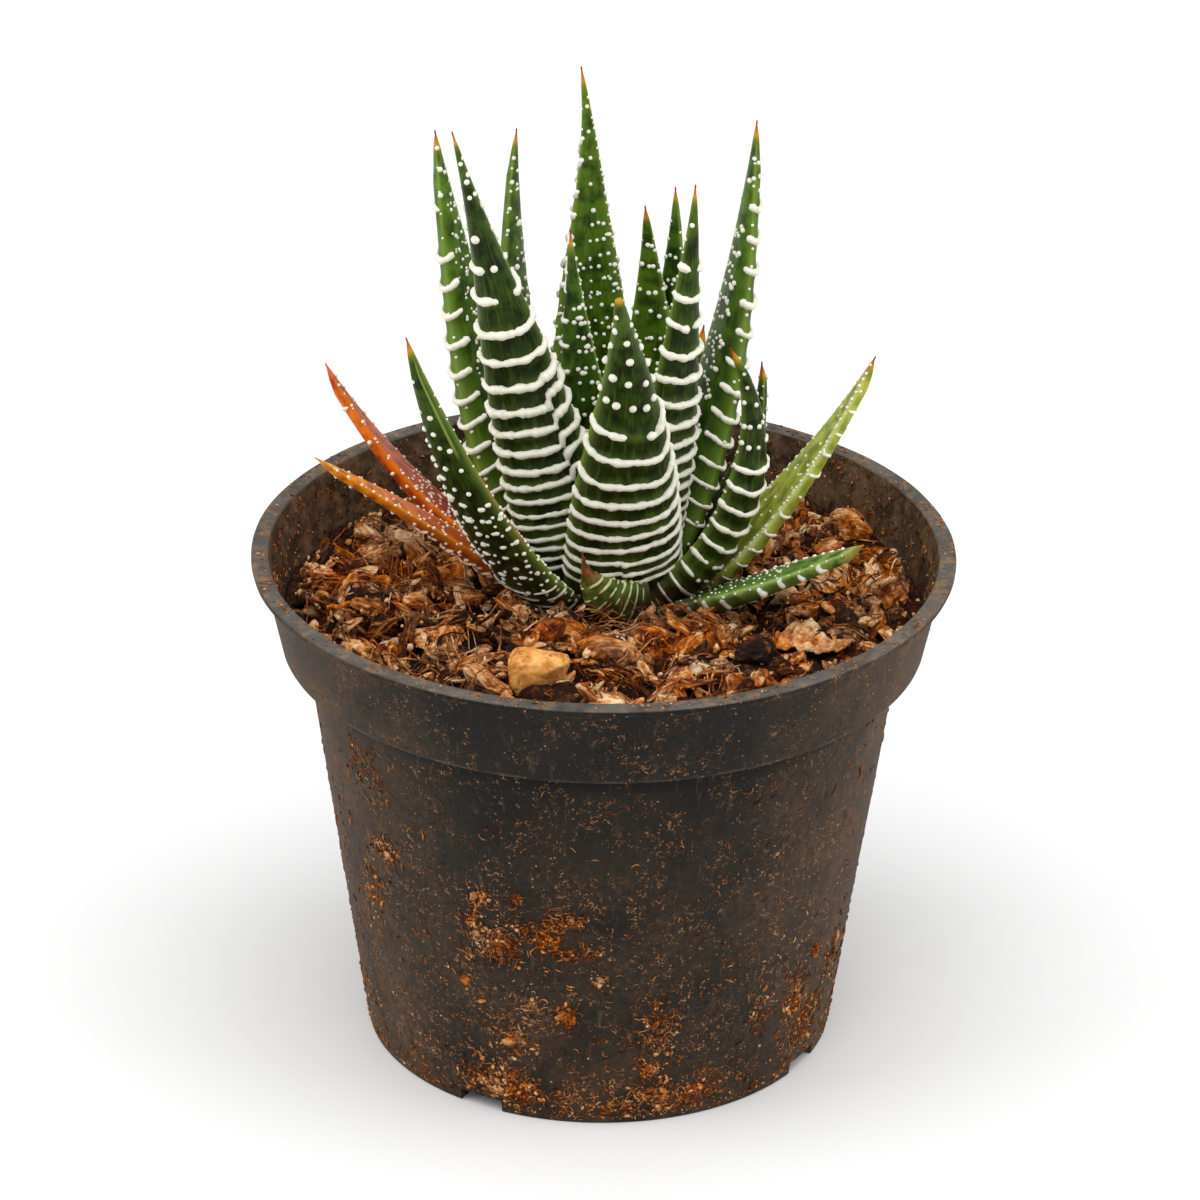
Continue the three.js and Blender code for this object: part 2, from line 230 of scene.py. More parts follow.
def makeStudio():
    half = studio["floorSize"] / 2 * mm
    floor = makeObject("floor", makeMesh(
        "floor", [(-half, -half, 0), (half, -half, 0), (half, half, 0), (-half, half, 0)], [(0, 1, 2, 3)]))
    paper, tree, shader = startMaterial("matt white paper")   # diffuse sheet under the pot
    feed(tree, shader, {
        "Base Color": toLinear(studio["floorColour"]), "Roughness": 0.9, "Specular IOR Level": 0.1})
    floor.data.materials.append(paper)
    world = bpy.data.worlds.new("soft room")
    world.use_nodes = True
    world.node_tree.nodes["Background"].inputs["Color"].default_value = (1, 1, 1, 1)
    world.node_tree.nodes["Background"].inputs["Strength"].default_value = studio["worldStrength"]
    bpy.context.scene.world = world
    middle = Vector((0, 0, 60))
    for name, azimuth, height, distance, size, watts in studio["lights"]:
        data = bpy.data.lights.new(name, "AREA")
        data.size = size * mm
        data.energy = watts
        lamp = bpy.data.objects.new(name, data)
        turn, rise = math.radians(azimuth - 90), math.radians(height)
        away = Vector((math.cos(rise) * math.cos(turn), math.cos(rise) * math.sin(turn), math.sin(rise)))
        lamp.location = (middle + distance * away) * mm
        lamp.rotation_euler = away.to_track_quat("Z", "Y").to_euler()
        bpy.context.scene.collection.objects.link(lamp)
    bpy.context.scene.view_settings.view_transform = "Standard"


makeCamera()
makeStudio()
print("camera and studio made")


# Leaves
# Each leaf follows a spine from the rosette's axis. On a leaf's skin, along is the distance from
# its foot in millimetres and round runs from -1 at one edge over the back to 1 at the other
# edge, and on over the face to 3, where it closes.

rosette = (2, 8)

leafSection = {
    "backDepth": 0.3,
    "tipDepth": 0.35,
    "backPower": 0.85,
    "crown": 0.12,
    "least": 0.24,
    "tipFull": 0.55,      # how much wider the last millimetres are than a straight taper
    "ringStep": 0.55,
    "aroundSteps": 44,
    "swell": 0.42,        # how far the skin rises at a band
    "swellWidth": 0.85,
}

# Shape as grown: seat is the direction in which the leaf stands off the rootstock, reach its distance
# from the axis, foot its height, toward the direction that it leans to, lean its lean at foot and tip.
# Bands start at first, lie pitch[0] apart at the foot and pitch[1] from ramp on, and end at last. Span
# is where they start and end round the leaf, and parts are rows whose bands are split. A keel or a
# tent is place, dip and half widths before and after it, a step is place, height, from and to.
# Rows of dots and dashes: from, to, pitch, round from, round to, count, half thickness and half length
# of a dash. Face dots: count, size from and to, round from and to, share of the length from and to.
# Teeth: pitch, size. Stripes and rust: place round the leaf, width, from, to.
leaves = {
    "leaf_01": {
        "seat": 238, "reach": 1.5, "foot": 72, "toward": 219, "lean": (17, 4),
        "length": 51.5, "width": 9, "roll": 26, "skin": "inner", "tip": 0.9,
        "bands": {"first": 8, "last": 38, "pitch": (2.4, 3.8), "ramp": 30, "span": (-1.1, -0.2),
                  "thick": 0.4, "hook": 1.2, "broken": 0.3},
        "rows": [(38, 50, 3.7, -1.06, -0.84, 1, 0.3, 0.75), (9, 49, 1.9, 0.8, 0.96, 1, 0.3, 0),
                 (10, 40, 2.3, -0.1, 0.8, 3, 0.34, 0), (24, 40, 4.1, 0.05, 0.6, 1, 0.4, 0.5)],
        "faceDots": (30, 0.2, 0.34, 1.1, 2.9, 0.1, 0.85), "teeth": (2.6, 0.3),
        "stripes": [(0.98, 0.09, 20, 50)],
    },
    "leaf_02": {
        "seat": 117, "reach": 5, "foot": 68, "toward": 114, "lean": (10.5, 5),
        "length": 72, "width": 14, "roll": -16, "skin": "bright", "crown": -0.05,
        "bow": -0.85, "bowPower": 3, "slim": 0.25,
        "bands": {"first": 10, "last": 62, "pitch": (2.4, 4.2), "ramp": 34, "span": (-0.95, 0.95),
                  "thick": 0.46, "hook": 1.4},
        "rows": [(20, 62, 3.6, 1.0, 1.12, 1, 0.42, 0.62), (10, 68, 1.6, 2.94, 3.02, 1, 0.27, 0),
                 (51, 67, 3.9, 1.92, 2.3, 1, 0.34, 0), (44, 50, 2.6, 1.9, 2.8, 3, 0.3, 0),
                 (20, 43, 2.1, 1.15, 2.9, 5, 0.27, 0), (24, 48, 3.6, 2.7, 2.95, 1, 0.34, 0.6)],
        "faceDots": (46, 0.18, 0.3, 1.1, 2.9, 0.15, 0.62), "teeth": (2.6, 0.3),
        "groove": (2.0, 0.12),
    },
    "leaf_03": {
        "seat": 54, "reach": 5, "foot": 69, "toward": 57, "lean": (22.5, 0),
        "length": 54, "width": 10, "roll": 2, "skin": "inner", "tip": 0.8,
        "bands": {"first": 8, "last": 44, "pitch": (2.4, 3.9), "ramp": 30, "span": (-0.95, 1.0),
                  "thick": 0.42, "hook": 1.2},
        "rows": [(22, 50, 3.2, 1.04, 1.2, 1, 0.3, 0), (20, 46, 4.0, 1.4, 2.6, 2, 0.34, 0)],
        "faceDots": (20, 0.2, 0.34, 1.2, 2.8, 0.2, 0.75), "teeth": (2.7, 0.32),
    },
    "leaf_04": {
        "seat": 295, "reach": 6, "foot": 68, "toward": 327, "lean": (14, 4),
        "length": 64, "width": 10.5, "roll": 7, "skin": "green", "tip": 0.8,
        "bands": {"first": 6.2, "last": 53, "pitch": (0.6, 4.3), "ramp": 38, "span": (-1.12, 1.12),
                  "thick": 0.55, "hook": 1.3, "hookLow": 0.7, "keel": (-0.05, 0.5, 0.5, 0.4),
                  "parts": [(42, 45, (-1.1, -0.02), (0.1, 1.12)), (50, 53, (-1.1, -0.25), (0.2, 1.1))]},
        "rows": [(55.8, 55.9, 4, -0.96, 0.96, 2, 0.5, 0), (58.6, 58.7, 4, -0.5, 0.9, 2, 0.36, 0),
                 (60.5, 62, 2.4, -0.2, 0.8, 1, 0.28, 0)],
        "faceDots": (40, 0.22, 0.36, 1.2, 2.8, 0.1, 0.9), "teeth": (4.4, 0.36),
    },
    "leaf_05": {
        "seat": 76, "reach": 3, "foot": 70, "toward": 64, "lean": (33, -11),
        "length": 52, "width": 11, "roll": 3, "skin": "bright", "tip": 0.85,
        "bands": {"first": 8, "last": 40, "pitch": (2.4, 3.8), "ramp": 30, "span": (-0.9, 0.9),
                  "thick": 0.4, "hook": 1.2},
        "rows": [(26, 47, 4.2, 1.2, 1.4, 1, 0.36, 0), (24, 46, 3.6, 1.7, 2.7, 2, 0.36, 0),
                 (24, 46, 3.0, 2.8, 3.0, 1, 0.32, 0)],
        "faceDots": (26, 0.22, 0.36, 1.1, 2.9, 0.1, 0.6), "teeth": (3.4, 0.34),
    },
    "leaf_06": {
        "seat": 148, "reach": 6, "foot": 68, "toward": 146, "lean": (36, -2), "bend": 2,
        "length": 65.5, "width": 11, "roll": -4, "skin": "bright", "tip": 0.9,
        "bands": {"first": 10, "last": 47, "pitch": (2.4, 4.2), "ramp": 34, "span": (-1.0, 1.2),
                  "thick": 0.46, "hook": 1.4},
        "rows": [(48.9, 49, 4, 2.35, 2.6, 1, 0.56, 1.3), (54.2, 54.3, 4, 2.2, 2.5, 1, 0.36, 0.7),
                 (50, 62, 3.6, 1.0, 1.2, 1, 0.34, 0), (57, 61, 2.2, 2.0, 2.6, 1, 0.28, 0),
                 (44.5, 44.6, 4, 1.1, 2.0, 3, 0.5, 0), (40.5, 43.5, 2.2, 1.7, 2.1, 1, 0.5, 0),
                 (36, 46, 3.1, 2.7, 2.9, 1, 0.4, 0)],
        "faceDots": (14, 0.2, 0.34, 1.35, 2.9, 0.4, 0.8), "teeth": (3.4, 0.34),
    },
    "leaf_07": {
        "seat": 274, "reach": 7, "foot": 67, "toward": 269, "lean": (19, 18), "swing": -5,
        "length": 58, "width": 17.5, "roll": 12, "skin": "green", "cutTip": 1.5, "tip": 0.55,
        "tipShift": 1.0, "bow": 0.9, "bowPower": 2,
        "bands": {"first": 7.6, "last": 38, "pitch": (0.9, 4.5), "ramp": 28, "span": (-1.1, 1.1),
                  "thick": 0.56, "hook": 1.0, "hookLow": 1.0, "tent": (0.42, 3.4, 1.5, 0.62),
                  "step": (-0.1, 0.55, 0, 13), "parts": [(35, 38, (-1.05, -0.1), (0.25, 1.1))]},
        "rows": [(40.9, 41, 4, -1.0, 0.98, 7, 0.62, 0), (45.1, 45.2, 4, -1.0, 0.9, 5, 0.6, 0),
                 (49.2, 49.3, 4, -0.85, 0.75, 3, 0.54, 0), (52.4, 52.5, 4, -0.7, 0.62, 3, 0.46, 0),
                 (55, 55.1, 4, -0.6, 0.5, 2, 0.4, 0)],
        "faceDots": (60, 0.22, 0.4, 1.1, 2.9, 0.15, 0.9), "teeth": (4.4, 0.36),
    },
    "leaf_08": {
        "seat": 230, "reach": 8, "foot": 67, "toward": 203, "lean": (15, 15), "swing": -4,
        "length": 75.5, "width": 14, "roll": 44, "skin": "green", "tip": 0.75, "slim": 0.22,
        "bands": {"first": 7.2, "last": 51.5, "pitch": (0.8, 5.0), "ramp": 46, "span": (-1.15, 1.15),
                  "thick": 0.6, "hook": 3.0, "hookLow": 1.5, "keel": (0.2, 0.9, 0.9, 0.5),
                  "step": (0.36, -1.6, 12, 36),
                  "parts": [(48, 52, (-1.15, -0.02), (0.5, 1.15))]},
        "rows": [(55.3, 55.4, 4, -0.75, -0.5, 1, 0.62, 1.9), (55.6, 55.7, 4, 0.1, 0.2, 1, 0.5, 0),
                 (55, 58, 2.4, 0.85, 1.05, 1, 0.56, 0),
                 (60.2, 60.3, 4, -1.05, -0.35, 2, 0.6, 0), (60, 64.5, 4, 0.8, 1.0, 1, 0.54, 0),
                 (64, 64.1, 4, -1.0, -0.8, 1, 0.56, 0), (66.8, 72, 2.6, -0.3, 0.8, 2, 0.38, 0)],
        "faceDots": (60, 0.22, 0.4, 1.2, 2.8, 0.1, 0.9), "teeth": (4.2, 0.4),
    },
    "leaf_09": {
        "seat": 53, "reach": 8, "foot": 67, "toward": 25, "lean": (30, 5), "bend": 2, "swing": -3,
        "length": 67, "width": 12, "roll": -21, "skin": "soft", "fold": -0.25, "crown": 0.3,
        "bands": {"first": 7.5, "last": 56, "pitch": (2.4, 4.6), "ramp": 34, "span": (-1.6, 0.9),
                  "thick": 0.5, "hook": 0.6, "keel": (-0.75, 0.9, 0.5, 0.6),
                  "parts": [(36, 57, (-1.3, 0.4))]},
        "rows": [(20, 54, 4.4, -1.95, -1.6, 2, 0.42, 0), (57.6, 57.7, 4, -1.7, -0.6, 2, 0.42, 0),
                 (59.5, 64.5, 2.6, -1.5, -0.4, 2, 0.34, 0), (12, 50, 2.5, 1.1, 2.1, 3, 0.3, 0),
                 (8, 34, 2.7, 1.05, 2.3, 3, 0.26, 0.3)],
        "faceDots": (40, 0.2, 0.34, 1.05, 2.2, 0.1, 0.75), "teeth": (3.2, 0.34),
    },
    "leaf_10": {
        "seat": 163, "reach": 8, "foot": 67, "toward": 178, "lean": (32, 9), "bend": 2.5,
        "length": 69.5, "width": 14, "roll": -21, "skin": "soft", "fold": 0.5, "crown": 0.3,
        "bands": {"first": 7.2, "last": 55, "pitch": (2.6, 4.2), "ramp": 35, "span": (-0.9, 1.42),
                  "thick": 0.5, "hook": 0.8, "hookLow": 1.0, "keel": (0.9, 0.6, 0.5, 0.4),
                  "broken": 0.12},
        "rows": [(58.6, 58.7, 4, 0.2, 0.9, 1, 0.46, 1.1), (61, 67, 2.7, 0.9, 1.4, 1, 0.4, 0),
                 (60, 66, 3.2, 2.0, 2.8, 1, 0.3, 0),
                 (22, 58, 2.0, 1.75, 2.95, 2, 0.3, 0), (14, 40, 2.6, 1.5, 2.6, 3, 0.28, 0),
                 (10, 64, 1.9, 2.9, 3.0, 1, 0.3, 0)],
        "faceDots": (90, 0.16, 0.28, 1.5, 2.95, 0.15, 0.86), "teeth": (3.4, 0.3),
    },
    "leaf_11": {
        "seat": 100, "reach": 8, "foot": 67, "toward": 98, "lean": (48, 14),
        "length": 41, "width": 12, "skin": "green", "tip": 1,
        "bands": {"first": 6, "last": 32, "pitch": (2.0, 3.8), "ramp": 24, "span": (-1.08, 1.08),
                  "thick": 0.5, "hook": 1.4, "keel": (0.1, 0.9, 0.6, 0.6)},
        "rows": [(33, 39, 2.6, -0.9, 0.9, 3, 0.42, 0)],
        "faceDots": (40, 0.22, 0.38, 1.1, 2.9, 0.1, 0.9), "teeth": (3.0, 0.34),
    },
    "leaf_12": {
        "seat": 220, "reach": 9, "foot": 66, "toward": 231, "lean": (56, 22), "bend": 2, "swing": -6,
        "length": 62, "width": 12.5, "roll": 14, "skin": "green", "tip": 1,
        "bands": {"first": 3, "last": 14, "pitch": (1.4, 2.4), "ramp": 16, "span": (-1.08, 1.3),
                  "thick": 0.32, "hook": 0.9, "broken": 1.0},
        "rows": [(55.5, 58, 2.6, -0.2, 0.3, 1, 0.3, 0), (46, 52.5, 3.3, -0.5, 0.4, 2, 0.4, 0),
                 (35, 43.5, 3.9, -0.8, 0.62, 4, 0.42, 0), (33, 42, 3.9, -0.7, 0.0, 1, 0.4, 0.7),
                 (29, 34, 2.9, -0.9, 1.0, 5, 0.4, 0.5), (16, 29, 2.5, -1.0, 1.35, 6, 0.38, 0.6),
                 (17, 31, 2.2, -0.95, 1.3, 5, 0.28, 0), (5, 16, 1.5, -1.0, 1.35, 7, 0.24, 0.35)],
        "faceDots": (30, 0.22, 0.34, 1.3, 2.8, 0.1, 0.7), "teeth": (2.0, 0.3),
        "stripes": [(0.62, 0.035, 40, 61)], "rust": [(1.0, 0.05, 20, 40)],
    },
    "leaf_13": {
        "seat": 279, "reach": 9, "foot": 66, "toward": 0, "lean": (66, -28), "bend": 1, "swing": 21,
        "length": 47.5, "width": 10.6, "roll": 34, "skin": "green", "tip": 0.9, "waist": 0.38,
        "bands": {"first": 4, "last": 31, "pitch": (2.0, 3.2), "ramp": 20, "span": (-1.1, 1.1),
                  "thick": 0.4, "hook": 1.1, "keel": (0.0, 0.9, 0.7, 0.5), "broken": 0.45},
        "rows": [(32.6, 36.5, 3.4, -0.95, 0.95, 5, 0.4, 0), (39.2, 39.3, 3, -0.85, 0.8, 3, 0.36, 0),
                 (41.8, 45, 2.3, -0.7, 0.7, 2, 0.3, 0)],
        "faceDots": (30, 0.2, 0.34, 1.2, 2.8, 0.1, 0.85), "teeth": (2.2, 0.3),
    },
    "leaf_14": {
        "seat": 32, "reach": 9, "foot": 67, "toward": 29, "lean": (69, 0),
        "length": 33.5, "width": 8, "roll": -3, "skin": "green", "tip": 1,
        "bands": {"first": 5, "last": 22, "pitch": (2.0, 3.0), "ramp": 20, "span": (-1.05, 1.05),
                  "thick": 0.36, "hook": 1.2, "broken": 0.3},
        "rows": [(22, 31, 2.2, -0.8, 0.8, 2, 0.32, 0)],
        "faceDots": (26, 0.2, 0.32, 1.2, 2.8, 0.1, 0.85), "teeth": (1.9, 0.28),
    },
    "leaf_15": {
        "seat": 349, "reach": 9, "foot": 66, "toward": 357, "lean": (50, 27), "swing": -3,
        "length": 46, "width": 12.5, "roll": 15, "skin": "olive", "crown": 0.02, "tip": 0.8,
        "bands": {"first": 5, "last": 42, "pitch": (2.4, 3.5), "ramp": 20, "span": (-1.02, -0.4),
                  "thick": 0.27, "hook": 1.4, "broken": 0.1},
        "rows": [(10, 44, 1.15, -1.06, -1.0, 1, 0.25, 0), (10, 44, 1.3, 1.0, 1.06, 1, 0.22, 0),
                 (8, 36, 3.4, -0.3, 0.85, 2, 0.3, 0.5), (14, 40, 5.5, 1.3, 2.7, 1, 0.26, 0)],
        "faceDots": (20, 0.16, 0.28, 1.1, 2.9, 0.1, 0.8), "teeth": (1.6, 0.24),
        "stripes": [(-1.0, 0.1, 8, 44)],
    },
    "leaf_16": {
        "seat": 187, "reach": 9, "foot": 67, "toward": 170, "lean": (70, 32), "swing": 5,
        "length": 46, "width": 12, "roll": -9, "skin": "crimson", "crown": 0.02,
        "bands": {"first": 4, "last": 22, "pitch": (2.2, 3.2), "ramp": 20, "span": (-1.0, 1.0),
                  "thick": 0.24, "hook": 0.8, "broken": 1.0},
        "rows": [(9, 26, 1.8, -0.4, 2.6, 7, 0.25, 0), (26, 42, 4.0, -0.35, 0.1, 1, 0.32, 0),
                 (28, 42, 5.0, 0.4, 0.8, 1, 0.36, 0.45), (10, 44, 2.4, 2.9, 3.0, 1, 0.26, 0),
                 (12, 42, 3.0, 0.98, 1.04, 1, 0.26, 0)],
        "faceDots": (46, 0.16, 0.28, 1.1, 2.9, 0.08, 0.55), "teeth": (2.6, 0.28),
    },
    "leaf_17": {
        "seat": 140, "reach": 9, "foot": 66, "toward": 140, "lean": (56, 24),
        "length": 36, "width": 11, "skin": "green", "tip": 1,
        "bands": {"first": 5, "last": 27, "pitch": (2.0, 3.4), "ramp": 22, "span": (-1.08, 1.08),
                  "thick": 0.46, "hook": 1.4, "keel": (-0.1, 0.9, 0.6, 0.6)},
        "rows": [(28, 34, 2.4, -0.9, 0.9, 3, 0.4, 0)],
        "faceDots": (36, 0.2, 0.36, 1.1, 2.9, 0.1, 0.9), "teeth": (2.6, 0.32),
    },
    "leaf_18": {
        "seat": 66, "reach": 9, "foot": 66, "toward": 66, "lean": (54, 26),
        "length": 35, "width": 11, "skin": "green", "tip": 1,
        "bands": {"first": 5, "last": 26, "pitch": (2.0, 3.4), "ramp": 22, "span": (-1.08, 1.08),
                  "thick": 0.46, "hook": 1.4, "keel": (0.1, 0.9, 0.6, 0.6)},
        "rows": [(27, 33, 2.4, -0.9, 0.9, 3, 0.4, 0)],
        "faceDots": (36, 0.2, 0.36, 1.1, 2.9, 0.1, 0.9), "teeth": (2.6, 0.32),
    },
    "leaf_19": {
        "seat": 316, "reach": 9, "foot": 65, "toward": 329, "lean": (63, 57), "bend": 1, "swing": -14,
        "length": 40, "width": 13, "roll": 14, "skin": "low", "crown": 0.05, "tipShift": 1.8,
        "bands": {"first": 4, "last": 37, "pitch": (2.4, 3.4), "ramp": 20, "span": (-1.02, -0.5),
                  "thick": 0.44, "hook": 0.9, "broken": 0.2},
        "rows": [(6, 24, 1.7, -0.35, 0.95, 3, 0.2, 0), (8, 34, 2.3, 1.05, 1.15, 1, 0.28, 0),
                 (7, 22, 1.9, -0.3, 0.9, 3, 0.18, 0.5),
                 (6, 24, 1.9, 1.2, 2.8, 4, 0.2, 0)],
        "faceDots": (26, 0.14, 0.22, 1.1, 2.9, 0.08, 0.6), "teeth": (2.4, 0.28),
    },
    "leaf_20": {
        "seat": 204, "reach": 10, "foot": 65, "toward": 198, "lean": (50, 54), "bend": 1, "swing": 12,
        "length": 46, "width": 9.6, "roll": -4, "skin": "orange", "crown": 0.02,
        "bands": {"first": 5, "last": 20, "pitch": (2.4, 3.2), "ramp": 20, "span": (-1.0, 1.0),
                  "thick": 0.24, "hook": 0.8, "broken": 1.0},
        "rows": [(10, 42, 2.2, 0.98, 1.04, 1, 0.27, 0), (12, 42, 2.6, -0.3, 0.3, 1, 0.28, 0.35),
                 (7, 26, 2.5, -0.2, 0.7, 2, 0.34, 0.7),
                 (10, 30, 3.0, 0.5, 0.8, 1, 0.28, 0), (8, 40, 2.8, 2.9, 3.0, 1, 0.24, 0)],
        "faceDots": (26, 0.16, 0.26, 1.1, 2.9, 0.08, 0.7), "teeth": (2.8, 0.26),
    },
    "leaf_21": {
        "seat": 287, "reach": 13.5, "foot": 68.3, "toward": 202, "lean": (88, -6), "bend": 0.95,
        "swing": -14, "length": 15.5, "width": 7.5, "skin": "old", "slim": 0.75,
        "bands": {"first": 1.5, "last": 10, "pitch": (1.2, 1.5), "ramp": 8, "span": (-1.0, 1.0),
                  "thick": 0.19, "hook": 0.5, "broken": 1.0},
        "rows": [(2, 9, 1.9, 0.78, 0.9, 1, 0.34, 0)],
        "faceDots": (10, 0.16, 0.26, 1.2, 2.8, 0.1, 0.6), "teeth": (1.5, 0.26),
    },
}

spineSteps = 60


def leafSpine(leaf):
    seat = math.radians(leaf["seat"])
    outward = np.array([math.cos(seat), math.sin(seat), 0])
    leanFoot, leanTip = leaf["lean"]

    def tangentAt(t):
        toward = np.radians(leaf["toward"] + leaf.get("swing", 0) * t)
        lean = np.radians(leanTip + (leanFoot - leanTip) * (1 - t) ** leaf.get("bend", 1.5))
        return np.stack([np.sin(lean) * np.cos(toward), np.sin(lean) * np.sin(toward), np.cos(lean)], -1)

    steps = np.arange(spineSteps + 1) / spineSteps
    start = np.array([*rosette, leaf["foot"]]) + leaf["reach"] * outward
    moves = tangentAt(steps[:-1] + 0.5 / spineSteps) * leaf["length"] / spineSteps
    points = np.vstack([start, start + np.cumsum(moves, 0)])
    tangents = tangentAt(steps)
    backs = outward - tangents * (tangents @ outward)[:, None]
    backs /= np.linalg.norm(backs, axis=1)[:, None]
    roll = math.radians(leaf.get("roll", 0))
    backs = backs * math.cos(roll) + np.cross(tangents, backs) * math.sin(roll)
    sides = np.cross(tangents, backs)
    bow = leaf.get("bow", 0) * np.sin(np.pi * steps ** leaf.get("bowPower", 1))
    return {"points": points + sides * bow[:, None], "backs": backs, "sides": sides}


def mixRows(rows, at):
    places = np.arange(spineSteps + 1)
    return np.stack([np.interp(at, places, rows[:, axis]) for axis in range(3)], -1)


def halfWidth(leaf, along):
    t = np.clip(along / leaf["length"], 0, 1)
    taper = 1.42 * (1 - t)
    share = taper / (1 + taper ** 6) ** (1 / 6) * (1 - leaf.get("slim", 0) * smoothStep(0.5, 0.9, t))
    share = share * (1 - leaf.get("waist", 0) * (1 - smoothStep(0.15, 0.6, t)))
    full = 1 + leafSection["tipFull"] * np.exp(-((leaf["length"] - along) / 3.4) ** 2)
    return np.maximum(share * leaf["width"] * full, leafSection["least"]) / 2


def bandRows(leaf):
    bands = leaf["bands"]
    rows, at = [], bands["first"]
    while at < bands["last"]:
        rows.append(at)
        at += bands["pitch"][0] + (bands["pitch"][1] - bands["pitch"][0]) * min(1, at / bands["ramp"])
    return rows


def bandShift(leaf, along, round_):
    # How far a band lies above its row at each place round the leaf: hooked up at the edges, dipped
    # over the keel or from a tent's top, and broken by a step
    bands = leaf["bands"]
    low, high = bands["span"]
    out = (round_ - (low + high) / 2) / ((high - low) / 2)
    grown = smoothStep(4, 30, along)
    hook = np.where(out < 0, bands.get("hookLow", bands["hook"]), bands["hook"])
    shift = hook * (0.3 + 0.7 * grown) * np.minimum(np.abs(out), 1.05) ** 7
    for kind in ("keel", "tent"):
        if kind in bands:
            place, dip, before, after = bands[kind]
            away = np.abs(round_ - place) / np.where(round_ < place, before, after)
            fall = np.exp(-away ** 1.3) if kind == "keel" else np.maximum(0, 1 - np.sqrt(away ** 2 + 0.004))
            shift = shift - dip * grown * fall
    if "step" in bands:
        place, height, first, last = bands["step"]
        inside = smoothStep(first - 2, first + 2, along) * (1 - smoothStep(last - 2, last + 2, along))
        shift = shift - height * inside * smoothStep(place - 0.02, place + 0.02, round_)
    return shift


def swellAt(leaf, along, round_):
    bands = leaf["bands"]
    low, high = bands["span"]
    level = along - bandShift(leaf, along, round_)
    nearest = np.full(np.shape(level), 99.0)
    for row in bandRows(leaf):
        nearest = np.minimum(nearest, np.abs(level - row))
    inside = smoothStep(low - 0.15, low + 0.1, round_) * (1 - smoothStep(high - 0.1, high + 0.15, round_))
    return np.exp(-(nearest / leafSection["swellWidth"]) ** 2) * inside


def leafSurface(leaf, along, round_, swell=None):
    # Points of the skin, in millimetres, for arrays of along and round
    round_ = (round_ + 1) % 4 - 1
    width = leaf["width"]
    t = np.clip(along / leaf["length"], 0, 1)
    half = halfWidth(leaf, along)
    thin = leafSection["tipDepth"] + (1 - leafSection["tipDepth"]) * (1 - t)
    depth = np.minimum(np.maximum(leafSection["backDepth"] * width * thin, 0.6), 1.6 * half)
    rise = leafSection["swell"] * np.minimum(1, 2.4 * (1 - t))
    rise = rise * (swellAt(leaf, along, round_) if swell is None else swell)
    onBack = round_ <= 1
    turn = np.pi * (np.clip(round_, -1, 1) + 1) / 2
    fold, crown = leaf.get("fold", 0), leaf.get("crown", leafSection["crown"])
    over = 2 - np.clip(round_, 1, 3)
    hill = 1 - np.where(over > fold, (over - fold) / (1 - fold), (fold - over) / (1 + fold)) ** 1.6
    across = np.where(onBack, -(half + 0.45 * rise) * np.cos(turn), half * over)
    down = np.where(onBack, (depth + rise) * np.sin(turn) ** leafSection["backPower"],
                    -crown * half * hill - 0.6 * rise * np.sqrt(np.clip(hill, 0, 1)))
    if "groove" in leaf:
        place, wide = leaf["groove"]
        down = down + 0.09 * half * np.exp(-((round_ - place) / wide) ** 2)
    at = t * spineSteps
    spine = leaf["spine"]
    side, back = mixRows(spine["sides"], at), mixRows(spine["backs"], at)
    return mixRows(spine["points"], at) + side * across[..., None] + back * down[..., None]


def leafOut(leaf, along, round_):
    # Direction out of the skin
    stepAlong, stepRound = 0.15, 0.02
    up = leafSurface(leaf, along + stepAlong, round_) - leafSurface(leaf, along - stepAlong, round_)
    over = leafSurface(leaf, along, round_ + stepRound) - leafSurface(leaf, along, round_ - stepRound)
    out = np.cross(over, up)
    return out / np.maximum(np.linalg.norm(out, axis=-1), 1e-9)[..., None]


def stripeAt(stripes, along, round_):
    # Lines that run along the leaf, such as a margin's pale rim
    total = np.zeros(np.shape(along))
    for place, wide, first, last in stripes:
        away = np.minimum(np.abs(round_ - place), np.abs(round_ - place - 4))
        ends = smoothStep(first, first + 4, along) * (1 - smoothStep(last - 4, last, along))
        total = np.maximum(total, np.exp(-(away / wide) ** 2) * ends)
    return total


